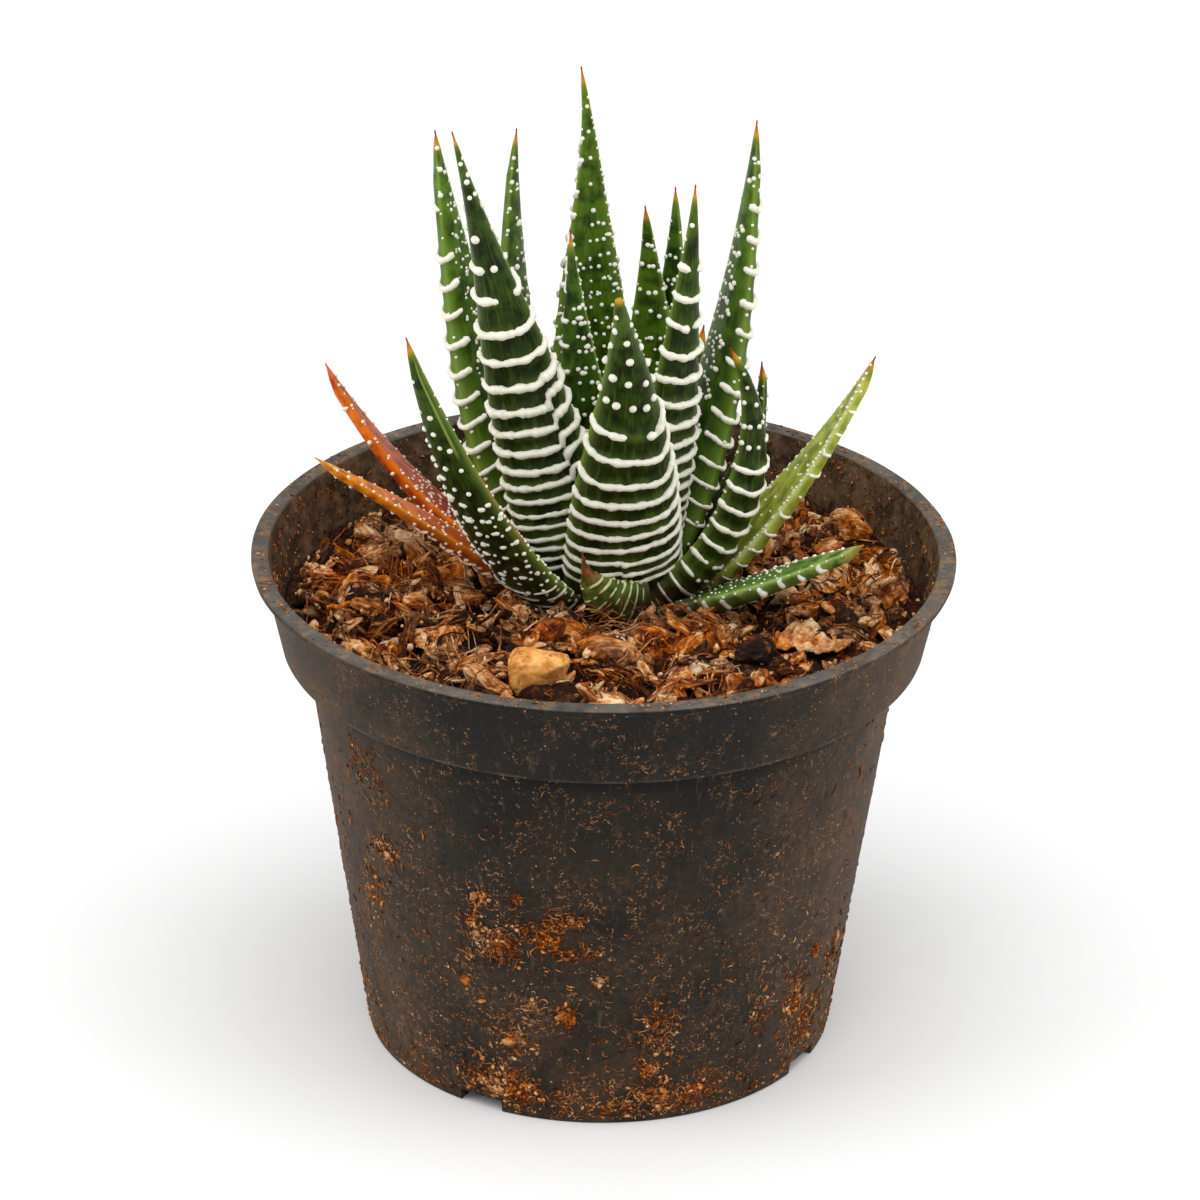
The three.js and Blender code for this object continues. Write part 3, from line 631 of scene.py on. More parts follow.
def leafSkinMesh(name, leaf):
    length = leaf["length"]
    end = length - leaf.get("cutTip", 0)
    rings = int(math.ceil(end / leafSection["ringStep"])) + 1
    sides = leafSection["aroundSteps"]
    along = np.repeat(np.linspace(0, end, rings)[:, None], sides, 1)
    round_ = np.repeat((-1 + 4 * np.arange(sides) / sides)[None, :], rings, 0)
    swell = swellAt(leaf, along, round_)
    points = leafSurface(leaf, along, round_, swell).reshape(-1, 3) * mm
    foot = points[:sides].mean(0)
    tip = points[-sides:].mean(0) + (points[-1] - points[-1 - sides]) * 0.6
    mesh = makeMesh(name, np.vstack([points, foot, tip]), ringFaces(rings, sides, capped=True))
    edge = np.where(round_ <= 1, np.abs(round_), np.abs(round_ - 2))
    # Millimetres left, in units of this leaf's dry tip
    toTip = (end - along + leaf.get("tipShift", 0)) / leaf.get("tip", 1)
    values = {"along": along / length, "rib": swell, "edge": edge, "toTip": toTip,
              "stripe": stripeAt(leaf.get("stripes", ()), along, round_),
              "rust": stripeAt(leaf.get("rust", ()), along, round_)}
    for key, rows in values.items():
        addValues(mesh, key, np.append(rows.ravel(), [rows[0, 0], rows[-1, 0]]))
    uv = mesh.uv_layers.new(name="leafUv")
    corners = np.zeros(len(mesh.loops), int)
    mesh.loops.foreach_get("vertex_index", corners)
    flat = np.stack([round_.ravel() * leaf["width"] / 2, along.ravel()], -1) * mm
    flat = np.vstack([flat, flat[0], flat[-1]])
    uv.data.foreach_set("uv", flat[corners].astype(np.float32).ravel())
    return mesh


def liftOf(leaf, along, round_):
    # How far a mark moves up with the bands beside it; on the face there are none
    return float(bandShift(leaf, np.float64(along), np.float64(min(round_, 1)))) if round_ < 1.2 else 0


def bandPath(leaf, row, span, thick, draw):
    # One band as a line of points on the skin with its half thickness at each
    low, high = span
    roughWidth = (high - low) * halfWidth(leaf, row) * 1.25
    count = max(5, int(roughWidth / 0.24))
    round_ = np.linspace(low, high, count)
    wave = np.linspace(0, roughWidth, count)
    phases = draw.uniform(0, 2 * np.pi, 4)
    wobble = 0.06 * np.sin(wave / 0.4 + phases[0]) + 0.09 * np.sin(wave / 1.3 + phases[1])
    wobble = wobble + 0.13 * np.sin(wave / 3.2 + phases[2])
    along = row + bandShift(leaf, np.float64(row), round_) + wobble * min(1, thick / 0.5)
    points = leafSurface(leaf, along, round_)
    out = leafOut(leaf, along, round_)
    steps = np.linalg.norm(np.diff(points, axis=0), axis=1)
    run = np.concatenate([[0], np.cumsum(steps)])
    toEnd = np.minimum(run, run[-1] - run)
    bead = np.abs(np.sin(run / 0.62 / 2 * (0.62 / thick) ** 0.5 + phases[3]))
    size = thick * (0.88 + 0.2 * bead)
    size = size * np.sqrt(1 - (1 - np.clip(toEnd / thick, 0.04, 1)) ** 2)
    return points - out * thick * 0.12, size


def bandSpans(leaf, row, draw):
    # The stretches of one band: whole, parted as set for its row, at the step, or broken into dashes
    bands = leaf["bands"]
    for first, last, *spans in bands.get("parts", ()):
        if first <= row <= last:
            return spans
    low, high = bands["span"]
    low, high = low + draw.uniform(0, 0.12), high - draw.uniform(0, 0.12)
    nearEnd = smoothStep(0.72, 1.0, row / bands["last"])
    if draw.random() < bands.get("broken", 0) + 0.1 * nearEnd:
        cuts = np.sort(draw.uniform(low, high, draw.integers(2, 5)))
        edges = [low, *cuts, high]
        return [(a + 0.03, b - 0.1) for a, b in zip(edges[:-1], edges[1:]) if b - a > 0.22]
    if "step" in bands and bands["step"][2] <= row <= bands["step"][3]:
        place = bands["step"][0] + draw.uniform(-0.04, 0.04)
        return [(low, place), (place - 0.03, high)]
    return [(low, high)]


def rowMarks(leaf, draw):
    # along, round, size and half length of each mark in the leaf's rows
    marks = []
    for first, last, pitch, low, high, count, size, dash in leaf["rows"]:
        at, single = first, last - first < 1
        while at <= last:
            for k in range(count):
                share = k / (count - 1) if count > 1 and single else (k + 0.5) / count
                share += draw.uniform(-0.3, 0.3) / count * (0.4 if single else 1)
                round_ = low + share * (high - low)
                along = at + liftOf(leaf, at, round_) + draw.uniform(-0.12, 0.12) * pitch * (not single)
                marks.append((along, round_, size * draw.uniform(0.82, 1.12), dash * draw.uniform(0.75, 1.2)))
            at += pitch * draw.uniform(0.9, 1.1)
    return np.array(marks)


def makeBandPaths(name, leaf, marks, draw):
    points, sizes, edges = [], [], []

    def addPath(row, span, thick):
        place, size = bandPath(leaf, row, span, thick, draw)
        first = sum(len(p) for p in points)
        points.append(place)
        sizes.append(size)
        edges.extend((first + i, first + i + 1) for i in range(len(place) - 1))

    for row in bandRows(leaf):
        full = 0.5 + 0.5 * smoothStep(0.05, 0.45, np.float64(row / leaf["length"]))
        for span in bandSpans(leaf, row, draw):
            addPath(row, span, leaf["bands"]["thick"] * full * draw.uniform(0.92, 1.08))
    for along, round_, size, dash in marks:
        if dash > 0:
            reach = min(0.4, dash / (1.25 * float(halfWidth(leaf, along))))
            addPath(along - liftOf(leaf, along, round_), (round_ - reach, round_ + reach), size)
    mesh = makeMesh(name, np.vstack(points) * mm, (), edges)
    addValues(mesh, "thick", np.concatenate(sizes) * mm)
    return makeObject(name, mesh)


def makeDots(name, leaf, marks, draw):
    # Dots in rows, scattered on the face, and teeth on the edges
    length = leaf["length"]
    end = length - leaf.get("cutTip", 0)
    dots = [tuple(mark[:3]) for mark in marks if mark[3] == 0]
    count, small, large, low, high, first, last = leaf["faceDots"]
    for _ in range(count):
        t = first + (last - first) * draw.random() ** 1.15
        dots.append((t * length, draw.uniform(low, high), draw.uniform(small, large)))
    pitch, size = leaf["teeth"]
    for edge in (-1.0, 1.0):
        at = draw.uniform(3, 5)
        while at < 0.93 * end:
            worn = 1 - 0.45 * at / length
            dots.append((at, edge + draw.uniform(-0.06, 0.06), size * worn * draw.uniform(0.8, 1.15)))
            at += pitch * draw.uniform(0.8, 1.2)
    along, round_, size = np.array(dots).T
    along = np.clip(along, 0.5, end - 1.2)
    points = leafSurface(leaf, along, round_)
    out = leafOut(leaf, along, round_)
    mesh = makeMesh(name, (points + out * size[:, None] * 0.1) * mm)
    addValues(mesh, "size", size * mm)
    addValues(mesh, "out", out, "FLOAT_VECTOR")
    return makeObject(name, mesh)


def tubercleTree():
    # Joins a leaf's skin with raised bands along edge paths and raised dots at points
    tree, given = startTree("tubercles", {
        "Skin": "Geometry", "Band paths": "Object", "Dot points": "Object", "Lump spacing": "Float",
        "Lump share": "Float", "Dot height": "Float", "Tubercle": "Material"}, "Leaf")
    paths = addNode(tree, "GeometryNodeObjectInfo", {"Object": given["Band paths"]})
    dots = addNode(tree, "GeometryNodeObjectInfo", {"Object": given["Dot points"]})
    spacing = addNode(tree, "ShaderNodeMath", {0: 1.0, 1: given["Lump spacing"]}, operation="DIVIDE")
    noise = addNode(tree, "ShaderNodeTexNoise", {"Scale": spacing, "Detail": 1.5})
    swing = addNode(tree, "ShaderNodeMath", {0: noise, 1: 0.5}, operation="SUBTRACT")
    doubled = addNode(tree, "ShaderNodeMath", {0: swing, 1: 4.0}, operation="MULTIPLY")
    factor = addNode(tree, "ShaderNodeMath", {
        0: doubled, 1: given["Lump share"], 2: 1.0}, operation="MULTIPLY_ADD")
    thick = addNode(tree, "GeometryNodeInputNamedAttribute", {"Name": "thick"}, data_type="FLOAT")
    radius = addNode(tree, "ShaderNodeMath", {0: thick, 1: factor}, operation="MULTIPLY")
    curve = addNode(tree, "GeometryNodeMeshToCurve", {"Mesh": paths.outputs["Geometry"]})
    ring = addNode(tree, "GeometryNodeCurvePrimitiveCircle", {"Resolution": 9, "Radius": 1.0})
    tube = addNode(tree, "GeometryNodeCurveToMesh", {
        "Curve": curve.outputs["Curve"], "Profile Curve": ring.outputs["Curve"],
        "Scale": radius, "Fill Caps": True})
    ball = addNode(tree, "GeometryNodeMeshIcoSphere", {"Radius": 1.0, "Subdivisions": 2})
    out = addNode(tree, "GeometryNodeInputNamedAttribute", {"Name": "out"}, data_type="FLOAT_VECTOR")
    size = addNode(tree, "GeometryNodeInputNamedAttribute", {"Name": "size"}, data_type="FLOAT")
    tall = addNode(tree, "ShaderNodeMath", {0: size, 1: given["Dot height"]}, operation="MULTIPLY")
    scale = addNode(tree, "ShaderNodeCombineXYZ", {"X": size, "Y": size, "Z": tall})
    turn = addNode(tree, "FunctionNodeAlignRotationToVector", {"Vector": out}, axis="Z")
    beads = addNode(tree, "GeometryNodeInstanceOnPoints", {
        "Points": dots.outputs["Geometry"], "Instance": ball.outputs["Mesh"],
        "Rotation": turn, "Scale": scale})
    raised = addNode(tree, "GeometryNodeJoinGeometry")
    tree.links.new(beads.outputs["Instances"], raised.inputs[0])
    tree.links.new(tube.outputs["Mesh"], raised.inputs[0])
    plain = addNode(tree, "GeometryNodeRealizeInstances", {"Geometry": raised})
    smooth = addNode(tree, "GeometryNodeSetShadeSmooth", {"Geometry": plain})
    painted = addNode(tree, "GeometryNodeSetMaterial", {"Geometry": smooth, "Material": given["Tubercle"]})
    whole = addNode(tree, "GeometryNodeJoinGeometry")
    tree.links.new(painted.outputs[0], whole.inputs[0])
    tree.links.new(given["Skin"], whole.inputs[0])
    addNode(tree, "NodeGroupOutput", {"Leaf": whole})
    return tree


# Leaf colours from foot to tip: place, colour. Pale is beside the bands and at the edges.
skinLooks = {
    "green": {
        "stops": [(0, "#2c2a10"), (0.12, "#1a2404"), (0.55, "#203006"), (0.8, "#2e450a"), (1, "#4c6414")],
        "pale": "#809a3c", "dark": "#0f1802", "stripe": "#98ac50"},
    "inner": {
        "stops": [(0, "#283606"), (0.2, "#294208"), (0.6, "#31500c"), (0.88, "#426412"), (1, "#60781c")],
        "pale": "#769634", "dark": "#142605", "stripe": "#9cb44e"},
    "bright": {
        "stops": [(0, "#304808"), (0.2, "#36520b"), (0.6, "#456411"), (0.88, "#527017"), (1, "#688424")],
        "pale": "#829e40", "dark": "#1e3206", "stripe": "#a4bc56"},
    "soft": {
        "stops": [(0, "#30430d"), (0.2, "#334b0b"), (0.6, "#425f10"), (0.88, "#54761a"), (1, "#6a8622")],
        "pale": "#809e3c", "dark": "#1d3106", "stripe": "#9ab050"},
    "low": {
        "stops": [(0, "#3c5216"), (0.3, "#406a1c"), (0.7, "#608834"), (0.88, "#86a044"), (1, "#c9a060")],
        "pale": "#a2bc66", "dark": "#26400a", "stripe": "#b4c86a"},
    "old": {
        "stops": [(0, "#26340a"), (0.35, "#3a5412"), (0.56, "#56661e"), (0.66, "#86703a"), (0.76, "#9a4a22"),
                  (0.9, "#a85830"), (1, "#b87c5c")],
        "pale": "#849648", "dark": "#1c2606", "stripe": "#9aa05a", "dryTip": False},
    "olive": {
        "stops": [(0, "#8a6a2c"), (0.2, "#9c9636"), (0.4, "#a6ac3a"), (0.7, "#b4be3a"), (0.92, "#b8b430"),
                  (1, "#cc8228")],
        "pale": "#c8d066", "dark": "#667816", "stripe": "#cad086"},
    "crimson": {
        "stops": [(0, "#661616"), (0.22, "#8c2222"), (0.42, "#ae321e"), (0.6, "#d4550e"), (0.86, "#f07808"),
                  (1, "#c44e18")],
        "pale": "#f08418", "dark": "#8a2412", "stripe": "#f0a55c", "dryTip": False},
    "orange": {
        "stops": [(0, "#641c12"), (0.22, "#8c2c14"), (0.42, "#b8480e"), (0.7, "#e27a12"), (0.9, "#f49a1e"),
                  (1, "#e2b068")],
        "pale": "#f09428", "dark": "#9a3a10", "stripe": "#f4b468", "dryTip": False},
}
tipColours = [(0, "#7a260a"), (0.12, "#a2420f"), (0.28, "#c46a22"), (0.44, "#c08c2c"), (0.68, "#7f8016"),
              (1, "#51611b")]


def soiling(tree, place):
    # Share of dirt on the lowest part of the plant, up to 8 mm above the soil in 3 mm patches
    height = addNode(tree, "ShaderNodeSeparateXYZ", {0: place}).outputs["Z"]
    patch = addNode(tree, "ShaderNodeTexNoise", {"Vector": place, "Scale": 1 / (3 * mm), "Detail": 5})
    raised = addNode(tree, "ShaderNodeMath", {0: patch, 1: -14 * mm, 2: height}, operation="MULTIPLY_ADD")
    return addNode(tree, "ShaderNodeMapRange", {"Value": raised, 1: 66.5 * mm, 2: 61 * mm, 4: 0.85})


def leafSkin(name, look):
    # Living leaf skin: waxy cuticle over wet tissue, so a soft sheen and a little light inside
    material, tree, shader = startMaterial("leaf skin " + name)
    values = {key: addNode(tree, "ShaderNodeAttribute", attribute_name=key).outputs["Fac"]
              for key in ("along", "rib", "edge", "toTip", "stripe", "rust")}
    place = addNode(tree, "ShaderNodeTexCoord").outputs["Object"]
    blotch = addNode(tree, "ShaderNodeTexNoise", {"Vector": place, "Scale": 1 / (2.2 * mm), "Detail": 4})
    darker = addNode(tree, "ShaderNodeMapRange", {"Value": blotch, 1: 0.42, 2: 0.62, 4: 0.9})
    # Paler skin close to the bands and toward the edges, as between the raised rows
    patchy = addNode(tree, "ShaderNodeTexNoise", {"Vector": place, "Scale": 1 / (4 * mm), "Detail": 2})
    patch = addNode(tree, "ShaderNodeMapRange", {"Value": patchy, 1: 0.4, 2: 0.62})
    margin = addNode(tree, "ShaderNodeMath", {0: values["edge"], 1: 6.0}, operation="POWER")
    steps = ("MULTIPLY", patch), ("MULTIPLY", 0.5), ("MAXIMUM", margin), ("MULTIPLY", 0.8)
    pale = values["rib"]
    for operation, other in steps:
        pale = addNode(tree, "ShaderNodeMath", {0: pale, 1: other}, operation=operation)
    # Cuticle streaks along the leaf, 0.7 mm apart, coarser than real ones so that they show
    flat = addNode(tree, "ShaderNodeUVMap", uv_map="leafUv")
    stretched = addNode(tree, "ShaderNodeMapping", {"Vector": flat, "Scale": (1, 0.18, 1)})
    streak = addNode(tree, "ShaderNodeTexNoise", {"Vector": stretched, "Scale": 1 / (0.7 * mm), "Detail": 3})
    streaked = addNode(tree, "ShaderNodeMapRange", {"Value": streak, 1: 0.5, 2: 0.8, 4: 0.25})
    layers = [(darker, toLinear(look["dark"])), (pale, toLinear(look["pale"])),
              (streaked, toLinear(look["pale"])), (values["stripe"], toLinear(look["stripe"])),
              (values["rust"], toLinear("#a8674a"))]
    if look.get("dryTip", True):
        # The last millimetres dry out: olive, ochre, orange and a dark red point
        reach = addNode(tree, "ShaderNodeMath", {0: values["toTip"], 1: 4.2}, operation="DIVIDE")
        share = addNode(tree, "ShaderNodeMapRange", {"Value": reach, 1: 1.0, 2: 0.5})
        layers.append((share, addNode(tree, "ShaderNodeValToRGB", {"Fac": reach}, tipColours)))
    layers.append((soiling(tree, place), toLinear("#2e1d10")))
    colour = addNode(tree, "ShaderNodeValToRGB", {"Fac": values["along"]}, look["stops"])
    for share, over in layers:
        colour = addNode(tree, "ShaderNodeMix", {0: share, 6: colour, 7: over}, data_type="RGBA").outputs[2]
    cells = addNode(tree, "ShaderNodeTexNoise", {"Vector": place, "Scale": 1 / (0.45 * mm), "Detail": 2})
    height = addNode(tree, "ShaderNodeMath", {0: cells, 1: streak}, operation="ADD")
    bump = addNode(tree, "ShaderNodeBump", {"Height": height, "Strength": 0.35, "Distance": 0.12 * mm})
    feed(tree, shader, {
        "Base Color": colour, "Normal": bump, "Roughness": 0.38, "IOR": 1.45, "Specular IOR Level": 0.16,
        "Subsurface Weight": 0.06, "Subsurface Radius": (0.6, 1.0, 0.25), "Subsurface Scale": 1.2 * mm})
    return material


def tubercleSkin(name, colour, shade):
    # Tubercles: chalky raised cells, matt and creamy, soiled near the soil
    material, tree, shader = startMaterial(name)
    place = addNode(tree, "ShaderNodeTexCoord").outputs["Object"]
    grain = addNode(tree, "ShaderNodeTexNoise", {"Vector": place, "Scale": 1 / (0.9 * mm), "Detail": 3})
    share = addNode(tree, "ShaderNodeMapRange", {"Value": grain, 1: 0.5, 2: 0.75})
    mixed = toLinear(colour)
    for part, over in ((share, toLinear(shade)), (soiling(tree, place), toLinear("#5f452c"))):
        mixed = addNode(tree, "ShaderNodeMix", {0: part, 6: mixed, 7: over}, data_type="RGBA").outputs[2]
    bump = addNode(tree, "ShaderNodeBump", {"Height": grain, "Strength": 0.3, "Distance": 0.1 * mm})
    feed(tree, shader, {
        "Base Color": mixed, "Normal": bump, "Roughness": 0.55, "Subsurface Weight": 0.15,
        "Subsurface Radius": (1.0, 0.9, 0.6), "Subsurface Scale": 0.5 * mm})
    return material


slots = {"leaf_15": "leaf_pale", "leaf_16": "leaf_dried", "leaf_20": "leaf_dried"}


def makeLeaves():
    tree = tubercleTree()
    skins = {name: leafSkin(name, look) for name, look in skinLooks.items()}
    cream = tubercleSkin("tubercle cream", "#efecdc", "#dcd8bd")
    chalks = {"crimson": tubercleSkin("tubercle tan", "#f6dfc4", "#e0a878"),
              "old": tubercleSkin("tubercle olive", "#cdd096", "#a8a468")}
    chalks["orange"] = chalks["crimson"]
    for number, (name, leaf) in enumerate(leaves.items()):
        draw = np.random.default_rng(100 + number)
        leaf["spine"] = leafSpine(leaf)
        piece = makeObject(name.replace("_", "Skin"), leafSkinMesh(name, leaf))
        piece.data.materials.append(skins[leaf["skin"]])
        marks = rowMarks(leaf, draw)
        paths = makeBandPaths(name + "Bands", leaf, marks, draw)
        dots = makeDots(name + "Dots", leaf, marks, draw)
        runTree(piece, tree, {
            "Band paths": paths, "Dot points": dots, "Lump spacing": 0.95 * mm, "Lump share": 0.34,
            "Dot height": 0.8, "Tubercle": chalks.get(leaf["skin"], cream)})
        bpy.data.objects.remove(paths)
        bpy.data.objects.remove(dots)
        rideOn(piece, slots.get(name, "leaf_green"), name)


makeLeaves()
print("leaves made:", len(leaves))


# Things that lie along lines or at points

def strandTree():
    # Turns edge paths into round strands whose half thickness is the attribute thick
    tree, given = startTree("strands", {"Paths": "Geometry", "Sides": "Int", "Finish": "Material"}, "Strands")
    thick = addNode(tree, "GeometryNodeInputNamedAttribute", {"Name": "thick"}, data_type="FLOAT")
    curve = addNode(tree, "GeometryNodeMeshToCurve", {"Mesh": given["Paths"]})
    ring = addNode(tree, "GeometryNodeCurvePrimitiveCircle", {"Resolution": given["Sides"], "Radius": 1.0})
    tube = addNode(tree, "GeometryNodeCurveToMesh", {
        "Curve": curve.outputs["Curve"], "Profile Curve": ring.outputs["Curve"],
        "Scale": thick, "Fill Caps": True})
    smooth = addNode(tree, "GeometryNodeSetShadeSmooth", {"Geometry": tube.outputs["Mesh"]})
    plain = addNode(tree, "GeometryNodeRealizeInstances", {"Geometry": smooth})
    painted = addNode(tree, "GeometryNodeSetMaterial", {"Geometry": plain, "Material": given["Finish"]})
    addNode(tree, "NodeGroupOutput", {"Strands": painted})
    return tree


def scatterTree():
    # Puts one of a collection's shapes at each point, turned and sized by the point's attributes
    tree, given = startTree("scatter", {
        "Places": "Geometry", "Shapes": "Collection", "Seed": "Int", "Shape count": "Int",
        "Finish": "Material"}, "Pieces")
    shapes = addNode(tree, "GeometryNodeCollectionInfo", {
        "Collection": given["Shapes"], "Separate Children": True, "Reset Children": True})
    last = addNode(tree, "ShaderNodeMath", {0: given["Shape count"], 1: 1.0}, operation="SUBTRACT")
    pick = addNode(tree, "FunctionNodeRandomValue", {4: 0, 5: last, "Seed": given["Seed"]}, data_type="INT")
    turn = addNode(tree, "GeometryNodeInputNamedAttribute", {"Name": "turn"}, data_type="FLOAT_VECTOR")
    scale = addNode(tree, "GeometryNodeInputNamedAttribute", {"Name": "scale"}, data_type="FLOAT_VECTOR")
    spin = addNode(tree, "FunctionNodeEulerToRotation", {"Euler": turn})
    copies = addNode(tree, "GeometryNodeInstanceOnPoints", {
        "Points": given["Places"], "Instance": shapes, "Pick Instance": True,
        "Instance Index": pick.outputs[2], "Rotation": spin, "Scale": scale})
    plain = addNode(tree, "GeometryNodeRealizeInstances", {"Geometry": copies})
    painted = addNode(tree, "GeometryNodeSetMaterial", {"Geometry": plain, "Material": given["Finish"]})
    addNode(tree, "NodeGroupOutput", {"Pieces": painted})
    return tree


def makePaths(name, lines):
    # lines: points in millimetres, half thickness at each point, tone
    edges, first = [], 0
    for points, _, _ in lines:
        edges += [(first + i, first + i + 1) for i in range(len(points) - 1)]
        first += len(points)
    mesh = makeMesh(name, np.vstack([line[0] for line in lines]) * mm, (), edges)
    addValues(mesh, "thick", np.concatenate([line[1] for line in lines]) * mm)
    addValues(mesh, "tone", np.concatenate([np.full(len(line[0]), line[2]) for line in lines]))
    return makeObject(name, mesh)


def makePlaces(name, places):
    # places: x, y, z, scale x y z, turn x y z, tone in one row
    rows = np.array(places)
    mesh = makeMesh(name, rows[:, :3] * mm)
    addValues(mesh, "scale", rows[:, 3:6] * mm, "FLOAT_VECTOR")
    addValues(mesh, "turn", rows[:, 6:9], "FLOAT_VECTOR")
    addValues(mesh, "tone", rows[:, 9])
    return makeObject(name, mesh)


# Pot: thin moulded cup with a collar, a stepped lip and a notched foot

pot = {
    "height": 74.6,
    "wall": 1.25,
    "footRadius": 33.7,
    "footWidth": 2.2,
    "floorUnder": 2.6,
    "floorThick": 1.5,
    "ledgeHeight": 61.1,
    "ledgeRadius": 42.5,
    "collarFoot": 45.8,
    "collarTop": 48.3,
    "collarHeight": 72.9,
    "stepRadius": 49.2,
    "lipHeight": 73.5,
    "lipRadius": 50,
    "lipInner": 47.6,
    "sides": 240,
    "round": 0.3,
    "warp": 0.14,         # how far the moulding is out of true
    "seed": 21,
}

drain = {
    "count": 4,
    "firstAngle": -119.5,
    "notchWidth": 6.8,
    "notchHeight": 2.0,
    "holeRadius": 3.2,
    "holeReach": 26.5,
    "middleRadius": 4,
}


def outerRadius(z):
    if z > pot["ledgeHeight"]:
        share = (z - pot["ledgeHeight"]) / (pot["collarHeight"] - pot["ledgeHeight"])
        return pot["collarFoot"] + (pot["collarTop"] - pot["collarFoot"]) * share
    return pot["footRadius"] + (pot["ledgeRadius"] - pot["footRadius"]) * z / pot["ledgeHeight"]


def innerRadius(z):
    return outerRadius(z) - pot["wall"]


def roundedOutline(corners, radius):
    # Closed outline with each corner replaced by a short curve, and long sides split
    outline = []
    for i, corner in enumerate(corners):
        here = np.array(corner, float)
        before = np.array(corners[i - 1], float) - here
        after = np.array(corners[(i + 1) % len(corners)], float) - here
        reach = min(radius, 0.45 * np.linalg.norm(before), 0.45 * np.linalg.norm(after))
        start = here + before / np.linalg.norm(before) * reach
        end = here + after / np.linalg.norm(after) * reach
        for share in (0, 0.33, 0.67, 1):
            outline.append((1 - share) ** 2 * start + 2 * share * (1 - share) * here + share ** 2 * end)
    split = []
    for here, there in zip(outline, outline[1:] + outline[:1]):
        count = max(1, int(np.linalg.norm(there - here) / 4))
        split += [here + (there - here) * k / count for k in range(count)]
    return np.array(split)


def makeCutters():
    # Notches through the foot ring and holes through the floor, as one mesh
    cutter = bmesh.new()
    floorTop = pot["floorUnder"] + pot["floorThick"]
    for i in range(drain["count"]):
        angle = math.radians(drain["firstAngle"] + 360 / drain["count"] * i)
        turn = Matrix.Rotation(angle, 4, "Z")
        size = Matrix.Diagonal((4 * pot["footWidth"], drain["notchWidth"], 2 * drain["notchHeight"], 1))
        middle = Matrix.Translation((pot["footRadius"] - pot["footWidth"] / 2, 0, 0))
        bmesh.ops.create_cube(cutter, size=1, matrix=turn @ middle @ size)
        hole = turn @ Matrix.Translation((drain["holeReach"], 0, floorTop))
        bmesh.ops.create_cone(cutter, segments=32, radius1=drain["holeRadius"], radius2=drain["holeRadius"],
                              depth=2 * floorTop, cap_ends=True, matrix=hole)
    mesh = bpy.data.meshes.new("cutters")
    bmesh.ops.transform(cutter, matrix=Matrix.Scale(mm, 4), verts=cutter.verts)
    cutter.to_mesh(mesh)
    cutter.free()
    return makeObject("cutters", mesh)


def makePotShell(finish):
    draw = np.random.default_rng(pot["seed"])
    ledge, wall = pot["ledgeHeight"], pot["wall"]
    floorTop = pot["floorUnder"] + pot["floorThick"]
    footInner = pot["footRadius"] - pot["footWidth"]
    corners = [
        (pot["footRadius"], 0), (pot["ledgeRadius"], ledge), (pot["collarFoot"], ledge),
        (pot["collarTop"], pot["collarHeight"]), (pot["stepRadius"], pot["collarHeight"]),
        (pot["stepRadius"], pot["lipHeight"]), (pot["lipRadius"], pot["lipHeight"]),
        (pot["lipRadius"], pot["height"]), (pot["lipInner"], pot["height"]),
        (innerRadius(ledge + wall), ledge + wall), (innerRadius(ledge), ledge + wall),
        (innerRadius(floorTop), floorTop), (drain["middleRadius"], floorTop),
        (drain["middleRadius"], pot["floorUnder"]), (footInner, pot["floorUnder"]), (footInner, 0),
    ]
    outline = roundedOutline(corners, pot["round"])
    sides, rows = pot["sides"], len(outline)
    angles = 2 * np.pi * np.arange(sides) / sides
    radius = np.repeat(outline[:, :1], sides, 1)
    height = np.repeat(outline[:, 1:], sides, 1)
    place = np.stack([radius * np.cos(angles), radius * np.sin(angles), height], -1).reshape(-1, 3)
    bend = (waves(place, draw, 42, 6) * 0.7 + waves(place, draw, 9, 8) * 0.3).reshape(rows, sides)
    radius = radius + pot["warp"] * bend * (0.3 + smoothStep(20, 70, height))
    lipRise = waves(place, draw, 30, 6).reshape(rows, sides)
    height = height + (0.12 * lipRise - 0.1) * smoothStep(66, 74, height)
    points = np.stack([radius * np.cos(angles), radius * np.sin(angles), height], -1).reshape(-1, 3) * mm
    shell = makeObject("potShell", makeMesh("potShell", points, ringFaces(rows, sides, joined=True)))
    cutters = makeCutters()
    cut = shell.modifiers.new("drainage", "BOOLEAN")
    cut.operation = "DIFFERENCE"
    cut.solver = "EXACT"
    cut.object = cutters
    graph = bpy.context.evaluated_depsgraph_get()
    mesh = bpy.data.meshes.new_from_object(shell.evaluated_get(graph), depsgraph=graph)
    shell.modifiers.clear()
    shell.data = mesh
    bpy.data.objects.remove(cutters)
    mesh.set_sharp_from_angle(angle=math.radians(38))
    mesh.materials.clear()
    mesh.materials.append(finish)
    rideOn(shell, "pot", "pot")
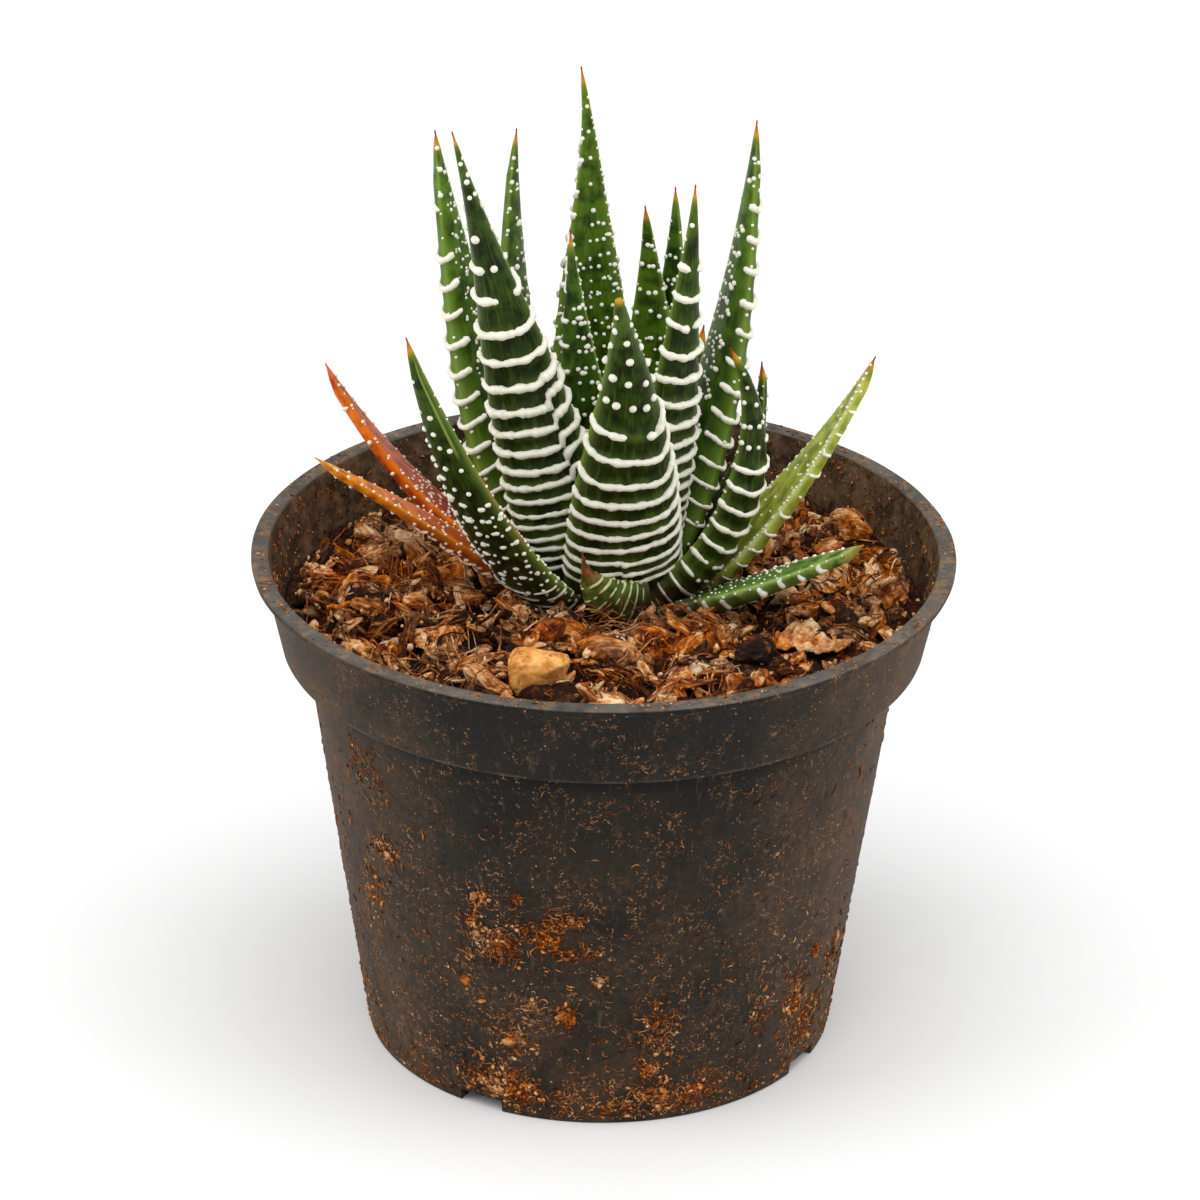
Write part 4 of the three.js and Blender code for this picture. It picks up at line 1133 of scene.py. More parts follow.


# What lies on the plastic, with painted shadow under the ledge, a painted highlight on the ledge's edge
# and painted sheen at the pot's sides. Patterns are noise: size in millimetres, detail, roughness and
# shift, then the stretch of it that is kept and the values at its ends. Levels are the same for a measured
# value: from and to in millimetres, values. Sums join two of them, and layers are colours laid over the
# plastic.
plastic = {
    "base": ("#0f1111", "#181815"),
    "patterns": {
        "tone": (16, 3, 0.5, 0, 0.35, 0.7, 0, 1),
        "dustPatch": (12, 4, 0.6, 3, 0.36, 0.7, 0.25, 1),
        "dustGrain": (1.0, 4, 0.7, 5, 0.35, 0.7, 0.3, 1),
        "innerPatch": (3.5, 5, 0.65, 7, 0.46, 0.66, 0.06, 0.6),
        "rubbed": (5, 4, 0.6, 13, 0.4, 0.65, 0, 0.35),
        "slatePatch": (4, 4, 0.6, 9, 0.3, 0.62, 0.4, 1),
        "tanPatch": (2, 6, 0.75, 1, 0.5, 0.62, 0, 0.6),
        "densePatch": (6, 5, 0.7, 11, 0.4, 0.68, 0, 1),
        "cut": (1.1, 2, 0.5, 6, 0.5, 0.56, 0, 1),
        "tint": (1.5, 2, 0.5, 8, 0.3, 0.7, 0, 1),
        "contour": (0.8, 1.5, 0.5, 2, 0, 1, 0, 1),
        "ragged": (0.3, 2, 0.6, 4, 0, 1, 0, 1),
        "pores": (0.7, 4, 0.6, 0, 0, 1, 0, 1),
    },
    "levels": {
        "inward": ("toward", -6, -12, 0, 1),
        "upper": ("height", 56, 60, 0, 1),
        "onLip": ("height", 74.15, 74.35, 0, 1),
        "low": ("height", 60, 2, 0.08, 0.36),
        # Painted sheen: more of the soil coat toward the pot's left and right as seen from the front, where
        # the wall turns away and catches the side lights
        "beside": ("aside", 20, 40, 0, 0.55),
        # Painted shadow on the wall under the collar's ledge: near black, deepest just below it
        "ledgeShadow": ("height", 56.8, 59.4, 0, 0.85),
        "belowLedge": ("height", 61.16, 61.1, 0, 1),
        # Rubbed wear and a painted highlight on the collar's rounded lower edge
        "ledgeRubAndHighlightFrom": ("height", 61.0, 61.1, 0, 1),
        "ledgeRubAndHighlightTo": ("height", 61.75, 61.4, 0, 1),
        "denseLow": ("height", 72, 3, 0.5, 1),
    },
    "sums": [
        # name, first value, operation, second value
        ("inside", "inward", "MULTIPLY", "upper"),
        ("dust", "dustPatch", "MULTIPLY", "dustGrain"),
        ("footDustAndSideSheen", "low", "ADD", "beside"),
        ("filmAndSideSheen", "dust", "MULTIPLY", "footDustAndSideSheen"),
        ("inner", "inside", "MULTIPLY", "innerPatch"),
        ("filmAndSideSheen", "filmAndSideSheen", "ADD", "inner"),
        ("ledgeShadow", "ledgeShadow", "MULTIPLY", "belowLedge"),
        ("edge", "ledgeRubAndHighlightFrom", "MULTIPLY", "ledgeRubAndHighlightTo"),
        ("edge", "edge", "MULTIPLY", "rubbed"),
        ("slate", "onLip", "MULTIPLY", "slatePatch"),
        ("tan", "onLip", "MULTIPLY", "tanPatch"),
        ("dense", "densePatch", "MULTIPLY", "denseLow"),
    ],
    # Layers over the plastic: the soil coat with a painted sheen at the sides, painted shadow under the
    # ledge, rubbed wear with a painted highlight on the ledge's edge, then rub marks, slate and tan on the
    # lip
    "layers": [("filmAndSideSheen", "#8a6b50"), ("ledgeShadow", "#050505"), ("edge", "#6a625a"), ("rub", "#6a5a4c"),
               ("slate", "#5c5b58"), ("tan", "#94704c")],
}


def potPlastic():
    # Black polypropylene, moulded and long used: satin charcoal, rubbed to slate on top of the lip,
    # under a brown coat of dried soil with curls and specks of it that thicken toward the foot. The coat is
    # painted heavier at the left and right as a painted sheen, a painted shadow lies under the ledge, and the
    # ledge's edge has rubbed wear with a painted highlight
    material, tree, shader = startMaterial("moulded polypropylene")
    place = addNode(tree, "ShaderNodeTexCoord").outputs["Object"]
    parts = addNode(tree, "ShaderNodeSeparateXYZ", {0: place}).outputs
    # The inside wall is where the surface faces the pot's axis
    facing = addNode(tree, "ShaderNodeNewGeometry").outputs["Normal"]
    outward = addNode(tree, "ShaderNodeVectorMath", {0: place, 1: (1, 1, 0)}, operation="MULTIPLY")
    toward = addNode(tree, "ShaderNodeVectorMath", {0: facing, 1: outward}, operation="DOT_PRODUCT")
    aside = addNode(tree, "ShaderNodeMath", {0: parts["X"]}, operation="ABSOLUTE")
    value = {"height": parts["Z"], "toward": toward.outputs["Value"], "aside": aside}
    for name, (size, detail, roughness, shift, *ends) in plastic["patterns"].items():
        moved = addNode(tree, "ShaderNodeMapping", {"Vector": place, "Location": (shift, shift, 0)})
        noise = addNode(tree, "ShaderNodeTexNoise", {
            "Vector": moved, "Scale": 1 / (size * mm), "Detail": detail, "Roughness": roughness})
        value[name] = addNode(tree, "ShaderNodeMapRange", {"Value": noise, **dict(enumerate(ends, 1))})
    for name, (source, first, last, least, most) in plastic["levels"].items():
        value[name] = addNode(tree, "ShaderNodeMapRange", {
            "Value": value[source], 1: first * mm, 2: last * mm, 3: least, 4: most})
    for name, first, operation, second in plastic["sums"]:
        value[name] = addNode(tree, "ShaderNodeMath", {
            0: value[first], 1: value[second]}, operation=operation)
    # Upright rub marks, 0.9 mm apart
    upright = addNode(tree, "ShaderNodeMapping", {"Vector": place, "Scale": (1, 1, 0.12)})
    lines = addNode(tree, "ShaderNodeTexNoise", {"Vector": upright, "Scale": 1 / (0.9 * mm), "Detail": 3})
    value["rub"] = addNode(tree, "ShaderNodeMapRange", {"Value": lines, 1: 0.62, 2: 0.78, 3: 0, 4: 0.3})
    base = [toLinear(colour) for colour in plastic["base"]]
    colour = addNode(tree, "ShaderNodeMix", {
        0: value["tone"], 6: base[0], 7: base[1]}, data_type="RGBA").outputs[2]
    for share, over in plastic["layers"]:
        colour = addNode(tree, "ShaderNodeMix", {
            0: value[share], 6: colour, 7: toLinear(over)}, data_type="RGBA").outputs[2]
    # Dried soil: short curls along the contour lines of a 0.8 mm noise
    off = addNode(tree, "ShaderNodeMath", {0: value["contour"], 1: 0.5}, operation="SUBTRACT")
    off = addNode(tree, "ShaderNodeMath", {0: off}, operation="ABSOLUTE")
    line = addNode(tree, "ShaderNodeMapRange", {"Value": off, 1: 0.028, 2: 0.012})
    enough = addNode(tree, "ShaderNodeMapRange", {"Value": value["dense"], 1: 0.12, 2: 0.45})
    curls = addNode(tree, "ShaderNodeMath", {0: line, 1: value["cut"]}, operation="MULTIPLY")
    curls = addNode(tree, "ShaderNodeMath", {0: curls, 1: enough}, operation="MULTIPLY")
    # and specks 0.55 mm apart, ragged by a finer noise
    cells = addNode(tree, "ShaderNodeTexVoronoi", {
        "Vector": place, "Scale": 1 / (0.55 * mm), "Randomness": 1.0})
    chance = addNode(tree, "ShaderNodeSeparateColor", {0: cells.outputs["Color"]})
    half = addNode(tree, "ShaderNodeMath", {0: value["dense"], 1: 0.5}, operation="MULTIPLY")
    picked = addNode(tree, "ShaderNodeMath", {0: chance, 1: half}, operation="LESS_THAN")
    edge = addNode(tree, "ShaderNodeMath", {
        0: value["ragged"], 1: 0.5, 2: cells.outputs["Distance"]}, operation="MULTIPLY_ADD")
    near = addNode(tree, "ShaderNodeMapRange", {"Value": edge, 1: 0.54, 2: 0.42})
    specks = addNode(tree, "ShaderNodeMath", {0: picked, 1: near}, operation="MULTIPLY")
    caked = addNode(tree, "ShaderNodeMath", {0: curls, 1: specks}, operation="MAXIMUM")
    brown = addNode(tree, "ShaderNodeMix", {
        0: value["tint"], 6: toLinear("#7e4b26"), 7: toLinear("#c89260")}, data_type="RGBA").outputs[2]
    share = addNode(tree, "ShaderNodeMath", {0: caked, 1: 0.85}, operation="MULTIPLY")
    colour = addNode(tree, "ShaderNodeMix", {0: share, 6: colour, 7: brown}, data_type="RGBA").outputs[2]
    relief = addNode(tree, "ShaderNodeMath", {
        0: caked, 1: 2.0, 2: value["pores"]}, operation="MULTIPLY_ADD")
    bump = addNode(tree, "ShaderNodeBump", {"Height": relief, "Strength": 0.5, "Distance": 0.18 * mm})
    dull = addNode(tree, "ShaderNodeMath", {0: value["filmAndSideSheen"], 1: caked}, operation="MAXIMUM")
    rough = addNode(tree, "ShaderNodeMapRange", {"Value": dull, 1: 0, 2: 0.7, 3: 0.5, 4: 0.9})
    feed(tree, shader, {
        "Base Color": colour, "Normal": bump, "Roughness": rough, "Specular IOR Level": 0.1})
    return material


makePotShell(potPlastic())
print("pot made")


# Soil: a dark crumbly bed, bark chunks and chips, crumbs, coir fibres and a few odd bits

soil = {
    "edge": 45.2,          # radius that loose pieces keep inside
    "gridStep": 0.5,
    "bedRings": 110,
    "bedSides": 300,
    "bedDrop": 0.9,        # how far the bed lies under the frame's soil
    "sideGap": 0.35,       # between the bed and the pot
    "bedEdge": 67,         # height at which the bed meets the pot
    "lowest": 58,          # the frame's soil counts as the top down to this height
    "level": 64.0,         # the top where there is none
    "mound": (2.4, 9, 20),  # extra height round the plant, full within and gone beyond these radii
    "seed": 7,
    "chunks": 84,
    "chunkSize": (2.0, 3.9),
    "lumps": 150,
    "lumpSize": (1.1, 1.9),
    "flakes": 210,
    "flakeSize": (1.5, 3.1),
    "chips": 520,
    "chipSize": (0.6, 1.3),
    "slivers": 330,
    "crumbs": 3600,
    "crumbSize": (0.18, 0.5),
    "fibres": 480,
    "tufts": 34,
    "topLimit": 2.8,       # most that loose pieces may stand above the frame's soil
}

# Pieces that stand out in the mix: place, half lengths, turn about the upright, tilt, tone
markedChunks = {
    "frontBrown": {"at": (0.6, -23.8), "half": (4.8, 3.4, 2.7), "turn": 10, "tilt": 8, "tone": 0.5},
    "behindStone": {"at": (-5.3, -13.4), "half": (3.5, 2.6, 2.3), "turn": -20, "tilt": 14, "tone": 0.56},
    "darkLeft": {"at": (-34.6, -6.0), "half": (3.3, 2.4, 2.2), "turn": 40, "tilt": 20, "tone": 0.14},
    "darkLeftLow": {"at": (-30.4, -12.2), "half": (3.4, 2.3, 2.0), "turn": 65, "tilt": 15, "tone": 0.17},
    "redBark": {"at": (-26.2, -11.8), "half": (3.6, 1.6, 1.7), "turn": 80, "tilt": 25, "tone": 0.4},
    "paleEdged": {"at": (-19.8, -14.6), "half": (5.2, 1.7, 2.2), "turn": 68, "tilt": 24, "tone": 0.2},
    "leftOchre": {"at": (-29.6, -17.2), "half": (2.0, 1.4, 1.3), "turn": 10, "tilt": 5, "tone": 0.86},
    "mossy": {"at": (-12.8, -16.2), "half": (3.6, 3.1, 2.4), "turn": 0, "tilt": 12, "tone": 0.3},
    "roundRed": {"at": (6.6, -17.6), "half": (3.4, 2.7, 2.4), "turn": 0, "tilt": 6, "tone": 0.46},
    "lowPlate": {"at": (3.6, -30.4), "half": (3.4, 2.2, 1.3), "turn": 12, "tilt": 4, "tone": 0.36},
    "pinkPlate": {"at": (10.8, -29.6), "half": (3.0, 2.1, 2.0), "turn": 50, "tilt": 28, "tone": 0.52},
    "tanCorner": {"at": (8.2, -34.6), "half": (2.4, 1.9, 1.1), "turn": 25, "tilt": 10, "tone": 0.8},
    "darkRound": {"at": (20.8, -21.4), "half": (3.4, 2.9, 2.6), "turn": 0, "tilt": 0, "tone": 0.15},
    "orangeRear": {"at": (40.6, 8.6), "half": (3.8, 3.0, 2.9), "turn": 30, "tilt": 10, "tone": 0.6},
    "rearRight": {"at": (36.6, 24.8), "half": (4.2, 2.8, 2.8), "turn": 20, "tilt": 24, "tone": 0.66},
    "rearBall": {"at": (26.6, 16.6), "half": (2.8, 2.2, 2.2), "turn": 0, "tilt": 0, "tone": 0.6},
    "rightPlate": {"at": (29.0, -5.2), "half": (3.6, 2.4, 1.4), "turn": 30, "tilt": 12, "tone": 0.62},
    "rightTan": {"at": (38.0, -8.6), "half": (3.0, 2.0, 1.3), "turn": 60, "tilt": 16, "tone": 0.7},
    "rearLeft": {"at": (-26.4, 22.4), "half": (4.0, 2.8, 2.4), "turn": 50, "tilt": 15, "tone": 0.44},
    "rearMiddle": {"at": (4.0, 34.0), "half": (4.2, 3.0, 2.6), "turn": 15, "tilt": 12, "tone": 0.56},
}


def treeOf(*names):
    points, faces = [], []
    for name in names:
        mesh = frame["nodes"][name].data
        first = len(points)
        points += [vertex.co / mm for vertex in mesh.vertices]
        faces += [[first + i for i in polygon.vertices] for polygon in mesh.polygons]
    return BVHTree.FromPolygons(points, faces)


soilTree = treeOf("soil")
leafTree = treeOf(*leaves)


def groundAt(x, y):
    hit = soilTree.ray_cast(Vector((x, y, 100)), Vector((0, 0, -1)))[0]
    high, near, far = soil["mound"]
    away = np.float64(math.hypot(x - rosette[0], y - rosette[1]))
    level = hit.z if hit and hit.z > soil["lowest"] else soil["level"]
    return level + high * float(1 - smoothStep(near, far, away))


def leafGap(x, y, z):
    # Distance to the nearest leaf, negative inside one
    hit, normal, _, distance = leafTree.find_nearest(Vector((x, y, z)))
    inside = (Vector((x, y, z)) - hit).dot(normal) < 0
    return -distance if inside else distance


class Pile:
    # Height of everything laid down so far, on a square grid over the pot

    def __init__(self):
        reach = soil["edge"] + 2
        self.axis = np.arange(-reach, reach + soil["gridStep"], soil["gridStep"])
        self.x, self.y = np.meshgrid(self.axis, self.axis, indexing="ij")
        floor = [groundAt(x, y) for x, y in zip(self.x.ravel(), self.y.ravel())]
        self.floor = np.array(floor).reshape(self.x.shape)
        self.top = self.floor - soil["bedDrop"]

    def cell(self, x, y):
        return np.abs(self.axis - x).argmin(), np.abs(self.axis - y).argmin()

    def window(self, x, y, reach):
        i = np.searchsorted(self.axis, [x - reach, x + reach])
        j = np.searchsorted(self.axis, [y - reach, y + reach])
        return slice(*i), slice(*j)

    def settle(self, x, y, reach, height, sink):
        # Rests a piece on what is there and returns the height of its middle
        rows, columns = self.window(x, y, reach)
        near = self.top[rows, columns]
        if near.size == 0:
            return self.top[self.cell(x, y)]
        middle = np.percentile(near, 60) + height * (1 - sink) - height * 0.35
        out = ((self.x[rows, columns] - x) ** 2 + (self.y[rows, columns] - y) ** 2) / reach ** 2
        dome = middle + height * 0.85 * np.sqrt(np.clip(1 - out, 0, 1))
        self.top[rows, columns] = np.where(out < 1, np.maximum(near, dome), near)
        return middle


def ballMesh(fineness):
    ball = bmesh.new()
    bmesh.ops.create_icosphere(ball, subdivisions=fineness, radius=1)
    points = np.array([vertex.co for vertex in ball.verts])
    faces = [[vertex.index for vertex in polygon.verts] for polygon in ball.faces]
    ball.free()
    return points, faces


balls = {fineness: ballMesh(fineness) for fineness in (1, 2, 3, 4, 5)}


def chunkShape(draw, fineness, cuts, rough, sharp=30, flat=0.0):
    # A broken lump: a ball cut by planes, then roughened by ridges that run along x like wood grain.
    # Returns its points, its faces and how far each point stands out at ridges and corners, which the bark
    # finish turns into a painted highlight there and painted shade in the grooves
    points, faces = balls[fineness]
    terms = [np.full(len(points), 1.05 ** -sharp)]
    for _ in range(cuts):
        normal = draw.normal(size=3)
        normal /= np.linalg.norm(normal)
        facing = np.maximum(points @ normal, 1e-3)
        terms.append((draw.uniform(0.5, 0.9) / facing) ** -sharp)
    radius = np.sum(terms, 0) ** (-1 / sharp)
    second, first = np.sort(terms, 0)[-2:]
    corner = second / first
    coarse = waves(points, draw, 1.1)
    ridges = 0.5 - np.abs(waves(points * [0.3, 1, 1.4], draw, 0.36, 9)) * 2
    radius = radius * (1 + rough * (1.1 * coarse + 1.1 * ridges))
    high = np.clip(0.35 + 0.7 * ridges + 0.5 * coarse + 0.4 * corner, 0, 1)
    shaped = points * radius[:, None]
    shaped[:, 2] -= flat * (shaped[:, 0] ** 2 + 0.5 * shaped[:, 1] ** 2) * draw.uniform(-0.4, 1)
    return shaped, faces, high


def turned(points, turn, tilt, lean=0):
    spin = Matrix.Rotation(turn, 3, "Z") @ Matrix.Rotation(tilt, 3, "Y") @ Matrix.Rotation(lean, 3, "X")
    return points @ np.array(spin).T


def ownPlace(draw, points):
    # Every piece has its own place in the pattern of the grain
    return (points + draw.uniform(-40, 40, 3)) * mm


def gather(name, parts, finish):
    # Joins parts of (points in millimetres, faces, values by name) into one mesh
    first, points, faces, values = 0, [], [], {}
    for part, polygons, own in parts:
        points.append(part)
        faces += [[first + i for i in polygon] for polygon in polygons]
        first += len(part)
        for key, value in own.items():
            value = np.broadcast_to(value, len(part)) if np.ndim(value) < 2 else value
            values.setdefault(key, []).append(value)
    mesh = makeMesh(name, np.vstack(points) * mm, faces)
    for key, rows in values.items():
        addValues(mesh, key, np.concatenate(rows), "FLOAT" if rows[0].ndim == 1 else "FLOAT_VECTOR")
    mesh.materials.append(finish)
    return rideOn(makeObject(name, mesh), "soil")


def shapeFolder(name, draw, count, fineness, size, **form):
    # size: usual half length of a piece in millimetres, for the grain that its surface shows
    folder = bpy.data.collections.new(name)
    for number in range(count):
        points, faces, high = chunkShape(draw, fineness, **form)
        mesh = makeMesh(f"{name}{number:02d}", points, faces)
        # high: how far each point stands out, painted by the finish as a highlight on ridges and corners and
        # as shade in the grooves
        addValues(mesh, "high", high)
        addValues(mesh, "local", ownPlace(draw, points * size), "FLOAT_VECTOR")
        folder.objects.link(bpy.data.objects.new(mesh.name, mesh))
    return folder


def scatterShapes(name, places, tree, shapes, seed, finish, slot="soil"):
    # Lays shapes from the folder at the places, keeps them as one mesh and clears the folder
    piece = makePlaces(name, places)
    runTree(piece, tree, {
        "Shapes": shapes, "Seed": seed, "Shape count": len(shapes.objects), "Finish": finish})
    for thing in list(shapes.objects):
        bpy.data.objects.remove(thing)
    bpy.data.collections.remove(shapes)
    rideOn(piece, slot)


def onKept(x, y):
    # Whether a small piece would lie on one of the things that stay clear
    for thing in (stone, dryLeaf):
        aside, ahead, reach = thing["clear"]
        if math.hypot(x - thing["at"][0] - aside, y - thing["at"][1] - ahead) < reach:
            return True
    return False


def randomSpot(draw, margin):
    reach = math.sqrt(draw.random()) * (soil["edge"] - margin)
    angle = draw.uniform(0, 2 * np.pi)
    return reach * math.cos(angle), reach * math.sin(angle)


def makeBed(finish):
    # The bed's top follows the frame's soil with crumbs in relief, its sides the pot's inner wall
    draw = np.random.default_rng(soil["seed"])
    lift = soil["sideGap"]
    rings, sides = soil["bedRings"], soil["bedSides"]
    angles = 2 * np.pi * np.arange(sides) / sides
    reach = innerRadius(soil["bedEdge"]) - lift
    radii = reach * np.arange(1, rings + 1) / rings
    x = np.outer(radii, np.cos(angles)).ravel()
    y = np.outer(radii, np.sin(angles)).ravel()
    flat = np.stack([x, y, np.zeros(len(x))], 1)
    relief = 0.55 * waves(flat, draw, 3.2, 12) + 0.45 * np.abs(waves(flat, draw, 1.5, 12)) ** 0.8
    relief = relief + 0.35 * waves(flat, draw, 0.9, 12)
    inward = 0.985         # so that the rays at the edge still meet the frame's soil
    level = np.array([groundAt(a * inward, b * inward) for a, b in zip(x, y)]) - soil["bedDrop"] + relief
    rows = [np.stack([x, y, level], 1)]
    low = pot["floorUnder"] + pot["floorThick"] + lift
    for height in (pot["ledgeHeight"] + pot["wall"] + lift, pot["ledgeHeight"], 40.0, 20.0, low):
        wide = innerRadius(height - 0.01) - lift
        rows.append(np.stack([wide * np.cos(angles), wide * np.sin(angles), np.full(sides, height)], 1))
    points = np.vstack([*rows, [[0, 0, groundAt(0, 0) - soil["bedDrop"]], [0, 0, low]]])
    faces = ringFaces(len(points) // sides, sides, capped=True)
    mesh = makeMesh("soilBed", points * mm, [face[:1] + face[:0:-1] for face in faces])
    # Painted shade in the bed's hollows and a painted highlight on its bumps, from the relief, through the
    # finish
    high = np.clip(0.3 + 0.5 * relief, 0, 1)
    addValues(mesh, "high", np.append(high, np.zeros(len(points) - len(high))))
    addValues(mesh, "tone", np.full(len(points), 0.24))
    mesh.materials.append(finish)
    rideOn(makeObject("soilBed", mesh), "soil", "soil")


# Dark wet bark, plain brown bark and dry tan pieces: share, middle and spread of the tone
barkKinds = [(0.26, 0.28, 0.07), (0.42, 0.5, 0.08), (0.32, 0.7, 0.09)]


def barkTone(draw):
    shares, middles, spreads = zip(*barkKinds)
    kind = draw.choice(len(barkKinds), p=shares)
    return float(np.clip(draw.normal(middles[kind], spreads[kind]), 0.04, 0.95))


def chunkPart(draw, place, half, turns, fineness, tone=None, **form):
    # One chunk with its grain, as gather takes it; without a tone it gets a random one
    points, faces, high = chunkShape(draw, fineness, **form)
    local = ownPlace(draw, points * half)
    tone = barkTone(draw) if tone is None else tone
    return turned(points * half, *turns) + place, faces, {"high": high, "tone": tone, "local": local}


def makeChunks(pile, finish):
    # The pieces that stand out, then more chunks between them, half sunk in what is there
    draw = np.random.default_rng(soil["seed"] + 1)
    parts = []
    for chunk in markedChunks.values():
        x, y = chunk["at"]
        half = np.array(chunk["half"])
        turns = math.radians(chunk["turn"]), math.radians(chunk["tilt"])
        z = pile.settle(x, y, half[0] * 0.8, half[2], 0.4)
        parts.append(chunkPart(draw, [x, y, z], half, turns, 5, chunk["tone"],
                               cuts=9, rough=0.06, sharp=40, flat=0.1))
    gather("largeChunks", parts, finish)
    parts = []
    marked = [(*chunk["at"], chunk["half"][0]) for chunk in [*markedChunks.values(), stone, dryLeaf]]
    kinds = (soil["chunks"], soil["chunkSize"], 4), (soil["lumps"], soil["lumpSize"], 3)
    for count, sizes, fineness in kinds:
        made = 0
        while made < count:
            size = draw.uniform(*sizes)
            x, y = randomSpot(draw, size * 1.2)
            close = any(math.hypot(x - a, y - b) < 0.75 * wide + 0.8 * size for a, b, wide in marked)
            if onKept(x, y) or close:
                continue
            half = size * np.array([draw.uniform(1.0, 1.6), draw.uniform(0.7, 1.0), draw.uniform(0.35, 0.7)])
            tilt, lean, turn = draw.normal(0, 0.35), draw.normal(0, 0.35), draw.uniform(0, 2 * np.pi)
            level = groundAt(x, y)
            if leafGap(x, y, level + 0.3 * size) < 0.75 * size:
                continue
            z = min(pile.settle(x, y, size * 0.85, half[2], 0.5), level + soil["topLimit"] - half[2])
            made += 1
            parts.append(chunkPart(draw, [x, y, z], half, (turn, tilt, lean), fineness,
                                   cuts=8, rough=0.07, flat=0.12))
            marked.append((x, y, size * 0.7))
    gather("barkChunks", parts, finish)


# Bits caught at the lowest leaves' feet: place, half length, turn, tone
footBits = [
    (5.4, -12.2, 68.4, 2.0, 0.3, 0.5), (7.6, -12.6, 69.0, 2.2, -0.4, 0.36),
    (9.8, -11.8, 69.6, 1.8, 0.7, 0.58), (11.6, -12.4, 68.8, 2.2, 0.1, 0.42),
    (13.4, -11.6, 68.8, 1.7, -0.6, 0.6), (6.6, -11.4, 70.2, 1.2, 1.2, 0.66),
    (8.8, -11.2, 70.9, 1.1, -0.2, 0.44), (10.8, -11.0, 70.8, 1.3, 0.4, 0.34),
    (3.2, -13.2, 67.8, 2.1, 0.1, 0.4), (0.6, -13.8, 67.2, 2.0, -0.3, 0.52),
    (-2.2, -13.6, 67.2, 1.8, 0.4, 0.44), (-4.6, -12.4, 67.8, 1.7, -0.2, 0.6),
    (-13.9, -5.6, 69.4, 2.0, 0.8, 0.42), (-15.2, -3.4, 69.8, 1.8, 0.3, 0.34),
    (-16.4, -1.2, 69.8, 1.8, -0.5, 0.5), (-12.4, -7.2, 69.2, 1.7, 0.2, 0.56),
    (-10.8, -9.0, 68.8, 1.7, -0.6, 0.38), (14.8, -8.8, 69.4, 1.7, 0.4, 0.46),
]


def makeChips(pile, tree, finish, kind, seed):
    # Chips, slivers or thin curved flakes of bark between the chunks
    draw = np.random.default_rng(soil["seed"] + seed)
    places, made = [], 0
    while made < soil[kind]:
        size = draw.uniform(*soil["flakeSize" if kind == "flakes" else "chipSize"])
        x, y = randomSpot(draw, size + 0.3)
        stretch = {"chips": (1.3, 0.85, 0.5), "slivers": (draw.uniform(1.3, 2.6), 0.3, 0.2),
                   "flakes": (1.15, draw.uniform(0.45, 0.75), 0.2)}[kind]
        half = size * np.array(stretch)
        level = groundAt(x, y)
        z = pile.settle(x, y, size * 0.8, half[2] * 1.4, 0.1)
        made += 1
        if z > level + soil["topLimit"] - 0.4 or leafGap(x, y, z) < 0.6 * half[0]:
            continue
        if kind == "flakes" and onKept(x, y):
            continue
        spread = 0.5 if kind == "flakes" else 0.35
        turn = (draw.normal(0, spread), draw.normal(0, spread), draw.uniform(0, 2 * np.pi))
        places.append((x, y, z + 0.15, *half, *turn, barkTone(draw)))
    if kind == "flakes":
        for x, y, z, size, turn, tone in footBits:
            tilts = draw.normal(0, 0.4), draw.normal(0, 0.4)
            places.append((x, y, z, size * 1.2, size * 0.6, size * 0.35, *tilts, turn, tone))
    fineness, size, flat = (3, 2.2, 0.35) if kind == "flakes" else (2, 0.9, 0.2)
    shapes = shapeFolder(kind, draw, 12, fineness, size, cuts=8, rough=0.09, flat=flat)
    scatterShapes("bark" + kind.title(), places, tree, shapes, 3, finish)


def makeCrumbs(pile, tree, finish):
    draw = np.random.default_rng(soil["seed"] + 3)
    places = []
    for _ in range(soil["crumbs"]):
        size = draw.uniform(*soil["crumbSize"]) * (1 if draw.random() < 0.8 else 1.5)
        x, y = randomSpot(draw, 0.2)
        z = pile.top[pile.cell(x, y)] + 0.1 * size
        if leafGap(x, y, z) < 0.2 * size or onKept(x, y):
            continue
        half = size * np.array([draw.uniform(0.9, 1.8), draw.uniform(0.6, 1.0), draw.uniform(0.4, 0.8)])
        turn = draw.uniform(0, 2 * np.pi, 3)
        places.append((x, y, z, *half, *turn, barkTone(draw) + 0.04))
    shapes = shapeFolder("crumbShape", draw, 8, 1, 0.4, cuts=6, rough=0.12)
    scatterShapes("soilCrumbs", places, tree, shapes, 5, finish)


def fibreLine(pile, draw, x, y, length, curl, lift, stride=0.7):
    # A coir fibre that wanders over the pile
    steps = max(5, int(length / stride))
    heading, bend = draw.uniform(0, 2 * np.pi), draw.normal(0, curl)
    points = []
    for k in range(steps + 1):
        arch = lift * math.sin(math.pi * k / steps)
        points.append((x, y, pile.top[pile.cell(x, y)] + 0.12 + arch))
        heading += (bend + draw.normal(0, 0.18)) * stride
        x, y = x + stride * math.cos(heading), y + stride * math.sin(heading)
        if math.hypot(x, y) > soil["edge"]:
            break
    points = np.array(points)
    if len(points) > 4:
        points[1:-1, 2] = (points[:-2, 2] + points[1:-1, 2] + points[2:, 2]) / 3
    return points


# Bundles of matted fibre: place, half width, fibres
markedTufts = [(-29.5, 4.5, 3.6, 46), (-35.5, 1.0, 2.6, 30), (-37.5, -3.5, 2.2, 24), (-23.6, 2.2, 1.8, 20),
               (8.5, -10.5, 3.0, 34), (13.5, -12.0, 2.6, 26), (28.0, 6.5, 2.4, 22), (2.5, -31.0, 3.0, 30)]


